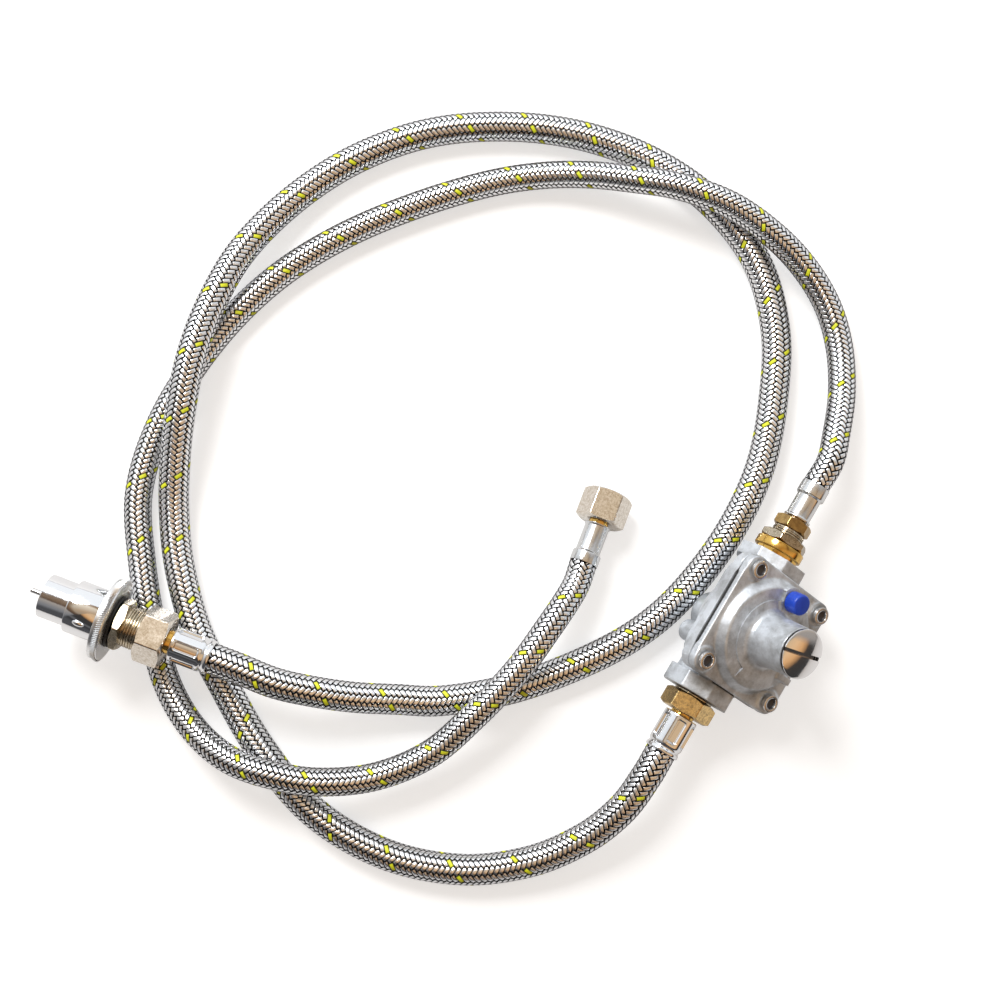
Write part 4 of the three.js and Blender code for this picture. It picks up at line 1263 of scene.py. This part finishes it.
screw_spots = [(screw_half, screw_half), (screw_half, -screw_half), (-screw_half, -screw_half),
               (-screw_half, screw_half)]
regulator_body = melted("regulator_casting", [
    column(rounded_square(flange_half, flange_corner), -(joint_gap + 4.6), -joint_gap),
    column(rounded_square(27.5, 9), -11.5, -4),
    spun([(0, -24), (17, -24), (22.5, -19), (27.1, -11.5), (27.1, -6), (0, -6)]),
    spun([(0, -39), (9.5, -39), (10.5, -38), (10.5, -15), (0, -15)]),
    spun([(0, -35.5), (4.1, -35.5), (5.5, -34.1), (5.5, -12), (0, -12)], 48, (-9, -13.5)),
    drum(14.5, 1 - inlet_face, outlet_face - 1, along_y=True, sides=64),
    column(octagon(port_flats), -inlet_face, -port_start, along_y=True),
    column(octagon(port_flats), port_start, outlet_face, along_y=True),
    *corner_pads(-joint_gap - 0.5, -pad_gap),
], 0.5)

# %% Bores of the lower casting
inlet_bore, outlet_bore = (-45, 0), (13.8, 45)
cut_away(regulator_body, drum(port_bore, *inlet_bore, along_y=True))
cut_away(regulator_body, drum(port_bore, *outlet_bore, along_y=True))
for radius, low, high, shift in [
    (21, -5, 2, (0, 0)),           # room under the diaphragm
    (8.8, -34, -9.2, (0, 0)),      # valve chamber
    (4.5, -10.2, -4, (0, 0)),      # seat
    (1.9, -37.2, -33, (0, 0)),     # guide of the valve stem
    (4.5, -16, -4, (0, 17.6)),     # way to the outlet
]:
    cut_away(regulator_body, drum(radius, low, high, shift))
cut_away(regulator_body, *[drum(screw_hole, -8, 2, spot, sides=24) for spot in screw_spots])
settle(regulator_body)

# %% [markdown]
# The cover carries the tower with the adjusting screw, four screw lugs, and the vent. A band
# round the tower lies a little lower than the dome.

# %% Upper casting
tower_top = 31.1
vent_spot = (0, 21.3)
rib = [(16.6, -13.4), (26.6, -13.4), (26.6, -9.8), (16.6, -9.8)]
regulator_cover = melted("regulator_cover_casting", [
    column(rounded_square(flange_half, flange_corner), joint_gap, joint_gap + 3.3),
    spun([(0, 2.5), (28.4, 2.5), (28.4, 4.7), (25.6, 8.4), (19.4, 9.2), (15.4, 9.4), (13.8, 10.2),
          (13.0, 11.8), (12.8, 13.9), (12.1, tower_top), (0, tower_top)]),
    drum(7, 3, 10, vent_spot),
    *[spun([(0, joint_gap), (6.4, joint_gap), (6.2, joint_gap + 4), (0, joint_gap + 4)], 48, spot)
      for spot in screw_spots],
    column(rib, 5.5, 9.5),
    *corner_pads(pad_gap, joint_gap + 0.5),
], 0.45)

# %% Band and bores of the upper casting
band_start, band_end = 1.82, 4.45  # angles round the tower
band_outer, band_inner = 24.6, 19.2
band = (arc(band_outer, np.linspace(band_start, band_end, 40))
        + arc(band_inner, np.linspace(band_end, band_start, 40)))
cut_away(regulator_cover, column(band, 8.45, 11))
cut_away(regulator_cover, spun([(0, -1), (21, -1), (21, 4.6), (17, 6.6), (10.8, 7.2), (10.8, 33), (0, 33)]))
cut_away(regulator_cover, drum(2.5, 2.6, 12, vent_spot, sides=24))
cut_away(regulator_cover, *[drum(screw_hole, -2, 7, spot, sides=24) for spot in screw_spots])
settle(regulator_cover)

# %% [markdown]
# ## Cap, vent plug and cover screws
#
# The seal cap is polished and has a driver slot across its top. The four cover screws are
# alike, so one is made and copied to the corners of a square.

# %% Seal cap and vent plug
cap_radius, cap_plug_radius = 12.1, 10.4
cap_seat = tower_top + 0.6 + 2 * gap
cap_top = cap_seat + 0.8
cap_crown = 1.3
slot_half, slot_depth, slot_turn = 0.95, 2.2, 0.23
seal_cap = turned("tower_seal_cap", [
    (0.02, cap_seat - 5.6), (cap_plug_radius, cap_seat - 5.6), (cap_plug_radius, cap_seat),
    (cap_radius, cap_seat), (cap_radius, cap_top),
    *((cap_radius * k, cap_top + cap_crown * (1 - k * k)) for k in (0.9, 0.75, 0.6, 0.45, 0.3, 0.15, 0.002)),
], regulator_place, turned_aluminium, 128, 0.2, hollow=False)
slot_cut = column([(-30, -slot_half), (30, -slot_half), (30, slot_half), (-30, slot_half)],
                  cap_top - slot_depth, cap_top + 4)
slot_cut.data.transform(Matrix.Scale(MM, 4) @ regulator_place @ Matrix.Rotation(slot_turn, 4, "Z"))
cut_away(seal_cap, slot_cut)
seal_cap.data.set_sharp_from_angle(angle=sharp_edge)

vent_top = 10.3                    # where the plug's rim sits on the vent boss
vent_plug = turned("vent_cap", [
    (0.02, vent_top - 3.8), (2.2, vent_top - 3.8), (2.2, vent_top), (5.3, vent_top), (5.15, 16.6),
    (4.5, 17.3), (0.02, 17.3),
], regulator_place, vent_blue, 64, 0.5, vent_spot, hollow=False)

# %% Cover screws
screw_seat = joint_gap + 4 + gap
screw_top = screw_seat + 2.4
socket_floor, socket_radius = screw_top - 1.6, 2.55
one_screw = turned("one_screw", [
    (0.02, -5.1), (2.1, -5.1), (2.1, screw_seat), (4.4, screw_seat), (4.4, screw_top),
    (socket_radius + 0.2, screw_top), (socket_radius, socket_floor), (0.02, socket_floor),
], Matrix.Identity(4), screw_steel, 48, 0.35, hollow=False)
# The faces inside the driver socket are marked here, so that they take the near-black finish, which is painted shade
# in the socket.
in_socket = [float(vertex.co.z > (screw_top - 1.9) * MM and math.hypot(vertex.co.x, vertex.co.y) < 2.65 * MM)
             for vertex in one_screw.data.vertices]
one_screw.data.attributes.new("hollow", "FLOAT", "POINT").data.foreach_set("value", in_socket)


def screw_tree():
    tree = Tree("four_cover_screws", Half="Float")
    side = tree.times(tree.size["Half"], 2.0)
    square = tree.out("GeometryNodeCurvePrimitiveQuadrilateral", {"Width": side, "Height": side})
    corners = tree.out("GeometryNodeCurveToPoints", {"Curve": square}, mode="EVALUATED")
    copies = tree.out("GeometryNodeInstanceOnPoints", {"Points": corners, "Instance": tree.size["Geometry"]})
    # The marked socket faces take the near-black finish, which is painted shade.
    return tree.finished(copies, (screw_steel, None),
                         (painted_socket_shade, tree.maths("GREATER_THAN", tree.read("hollow"), 0.6)))


cover_screws = laid(run_tree("cover_screws", one_screw, screw_tree(), Half=screw_half * MM), regulator_place)

# %% [markdown]
# ## What rides on what
#
# Each piece moves with one body of the CAD model, stands for the solids that it replaces and
# takes its material slot. The hoses are declared as cords, with what is fixed on them.

# %% Bodies, replaced solids and slots


def stands_for(piece, body, slot, *nodes):
    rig.ride(piece, body)
    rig.slot(piece, slot)
    if nodes:
        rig.replaces(piece, *nodes)


stands_for(regulator_body, "regulator", "cast_aluminium", "regulator_body")
stands_for(regulator_cover, "regulator", "cast_aluminium", "regulator_cover")
stands_for(cover_screws, "regulator", "steel", *[f"cover_screw_{i}" for i in range(1, 5)])
stands_for(seal_cap, "cap", "turned_aluminium", "seal_cap")
stands_for(vent_plug, "vent_plug", "blue_plastic", "vent_plug")
stands_for(outlet_ring, "regulator", "brass", "outlet_ring")
stands_for(outlet_bush, "regulator", "nickel", "outlet_bush")
stands_for(bush_thread, "regulator", "nickel")
stands_for(outlet_tail, "regulator", "brass", "hose_b_tail_outlet")
stands_for(outlet_sleeve, "regulator", "steel", "hose_b_ferrule_outlet")
stands_for(inlet_adapter, "regulator", "nickel", "inlet_adapter")
stands_for(inlet_thread, "regulator", "nickel")
stands_for(inlet_nut, "inlet_nut", "nickel", "inlet_nut")
stands_for(inlet_tail, "regulator", "brass", "hose_a_tail_inlet")
stands_for(inlet_ferrule, "regulator", "chrome", "hose_a_ferrule_inlet")
stands_for(plug_ferrule, "regulator", "chrome", "hose_a_ferrule_plug")
stands_for(plug_tail, "regulator", "brass", "hose_a_tail_plug")
stands_for(union_nut, "union_nut", "nickel", "union_nut")
stands_for(plug_adapter, "regulator", "nickel", "plug_adapter")
stands_for(plug_thread, "regulator", "nickel")
stands_for(plug_grip, "regulator", "chrome", "plug_flange")
stands_for(plug_knurl, "regulator", "chrome")
stands_for(plug_washer, "regulator", "black_rubber", "plug_washer")
stands_for(plug_barrel, "regulator", "chrome", "plug_body")
for piece in lugs:
    stands_for(piece, "regulator", "chrome")
stands_for(plug_pin, "plug_pin", "steel", "plug_pin")
stands_for(flare_nut, "flare_nut", "nickel", "flare_nut")
stands_for(free_tail, "regulator", "brass", "hose_b_tail_free")
stands_for(free_sleeve, "regulator", "steel", "hose_b_ferrule_free")
stands_for(core_a, "regulator", "braided_hose", "hose_a")
stands_for(core_b, "regulator", "braided_hose", "hose_b")
for piece in braid_a + braid_b:
    stands_for(piece, "regulator", "braided_hose")
print("bodies ridden on:", len(frame["bodies"]))

# %% Finishes of the solids that stay
kept = {
    "diaphragm": rubber, "valve_disc": rubber, "seal_cap_gasket": rubber, "diaphragm_plate": screw_steel,
    "main_spring": screw_steel, "valve_stem": brass, "adjusting_screw": turned_aluminium,
}
for node, finish in kept.items():
    dressed(frame["nodes"][node].data, finish)
print("solids kept:", sorted(kept))

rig.cord(core_a, exit=points_a[0], length=length_a, diameter=2 * hose_a_radius * MM, far_end="plug",
        stiffness="stiff", lay="loose", path=points_a,
        with_pieces=braid_a + [inlet_ferrule, inlet_tail, inlet_nut, plug_ferrule, plug_tail, union_nut,
                               plug_adapter, plug_thread, plug_grip, plug_knurl, plug_washer, plug_barrel,
                               plug_pin] + lugs)
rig.cord(core_b, exit=points_b[0], length=length_b, diameter=2 * hose_b_radius * MM, far_end="fitting",
        stiffness="stiff", lay="loose", path=points_b,
        with_pieces=braid_b + [outlet_tail, outlet_sleeve, free_sleeve, free_tail, flare_nut])
print("hoses declared, in metres:", round(length_a, 3), round(length_b, 3))

# %% [markdown]
# ## Table and light
#
# The object lies on white paper under a big soft lamp from the upper left. The paper is white
# to the camera and keeps the soft shadow. Polished metal sees a little of that white too.

# %% Table
table_half = 15
camera_white, mirror_white = 0.62, 0.24


def ray_kinds(tree):
    """One for a ray from the camera, and one for a ray that is mirrored or goes through glass."""
    rays = tree.node("ShaderNodeLightPath").outputs
    return rays["Is Camera Ray"], tree.plus(rays["Is Glossy Ray"], rays["Is Transmission Ray"])


floor_mesh = bpy.data.meshes.new("table")
floor_mesh.from_pydata([(-table_half, -table_half, 0), (table_half, -table_half, 0),
                        (table_half, table_half, 0), (-table_half, table_half, 0)], [], [(0, 1, 2, 3)])
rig.stage(placed("table", floor_mesh))
paper = Finish("table_paper", (0.48, 0.48, 0.48), 0.0, 0.8, Specular_IOR_Level=0.2,
               Emission_Color=(1, 1, 1, 1))
camera_ray, mirror_ray = ray_kinds(paper)
shown = paper.plus(paper.times(camera_ray, camera_white), paper.times(mirror_ray, mirror_white))
paper.set(paper.shader, "Emission Strength", shown)
dressed(floor_mesh, paper)

# %% Lamp
centre = aim * MM
lamp_data = bpy.data.lights.new("key", "AREA")
lamp_data.shape = "SQUARE"
lamp_data.size = 0.6
lamp_data.energy = 26
lamp = placed("key", lamp_data)
lamp.location = centre + right * -0.5 + flat_up * 0.9 + Vector((0, 0, 1.2))
lamp.rotation_euler = (lamp.location - centre).to_track_quat("Z", "Y").to_euler()
print("lamp at", [round(v, 2) for v in lamp.location])

# %% [markdown]
# The studio itself is a gradient round the object. Most of it is bright. A dark panel stands
# on the side away from the lamp, with a warm golden card over it. Polished metal then shows
# crisp stripes, which is how the eye reads chrome. Straight into the camera the studio is
# plain white, so the object stands on white from every side.

# %% Studio
world = bpy.data.worlds.new("studio")
bpy.context.scene.world = world
world.use_nodes = True
studio = Nodes(world.node_tree)
looking = studio.node("ShaderNodeTexCoord").outputs["Generated"]

panel_turn = math.radians(-80)
panel_direction = right * math.cos(panel_turn) + flat_up * math.sin(panel_turn)
level = studio.out("ShaderNodeVectorMath", {0: looking, 1: (1, 1, 0)}, operation="MULTIPLY")
level = studio.out("ShaderNodeVectorMath", {0: level}, operation="NORMALIZE")
inside = studio.spread(studio.along(level, panel_direction), 0.0, 1.0, 0.38, 0.46)
slanted = studio.along(looking, right * 0.524 + Vector((0, 0, 0.852)))
panel = studio.ramp(slanted, [
    (0.0, (0.05, 0.05, 0.055)), (0.2, (0.012, 0.012, 0.014)), (0.3, (0.12, 0.12, 0.125)),
    (0.4, (0.012, 0.012, 0.012)), (0.62, (0.02, 0.014, 0.01)), (0.65, (0.32, 0.16, 0.06)),
    (0.71, (0.72, 0.38, 0.15)), (0.79, (0.8, 0.5, 0.26)), (0.88, (0.66, 0.46, 0.27))])

toward_lamp = studio.spread(studio.along(looking, flat_up), 0.0, 1.0, -1.0, 1.0)
wall = studio.ramp(toward_lamp, [
    (0.0, (0.12, 0.12, 0.13)), (0.3, (0.2, 0.2, 0.21)), (0.5, (0.44, 0.38, 0.32)),
    (0.6, (0.62, 0.63, 0.64)), (0.75, (1.0, 1.03, 1.06)), (1.0, (1.04, 1.06, 1.08))])
beam = studio.ramp(studio.node("ShaderNodeSeparateXYZ", {0: looking}).outputs["Z"], [
    (0.0, (0.3, 0.3, 0.32)), (0.03, (1.0, 1.0, 1.0)), (0.81, (1.0, 1.0, 1.0)), (0.83, (0.2, 0.12, 0.07)),
    (0.88, (0.4, 0.24, 0.12)), (0.92, (1.0, 0.85, 0.65)), (1.0, (1.1, 0.85, 0.6))])

# %% Mix the studio


def mixed(share, first, second, blend="MIX"):
    made = studio.node("ShaderNodeMix", data_type="RGBA", blend_type=blend)
    for label, value in (("Factor", share), ("A", first), ("B", second)):
        studio.set(made, label, value)
    return made.outputs["Result"]


mirrored_white = 0.03
camera_ray, mirror_ray = ray_kinds(studio)
sky = mixed(inside, mixed(1.0, wall, beam, "MULTIPLY"), panel)
plain = studio.plus(studio.times(mirror_ray, mirrored_white), camera_ray)
studio.set(studio.nodes["Background"], "Color", mixed(plain, sky, (1, 1, 1, 1)))
bpy.context.scene.view_settings.view_transform = "Standard"
print("studio nodes:", len(studio.nodes))

# %% [markdown]
# ## Sizes
#
# The dressed model has to stay in the CAD model's box, so both boxes are written down.

# %% Sizes and finish
json.dump({"cad": cad_box, "visual": [list(corner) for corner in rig.bounds()]},
          open("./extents.json", "w"))
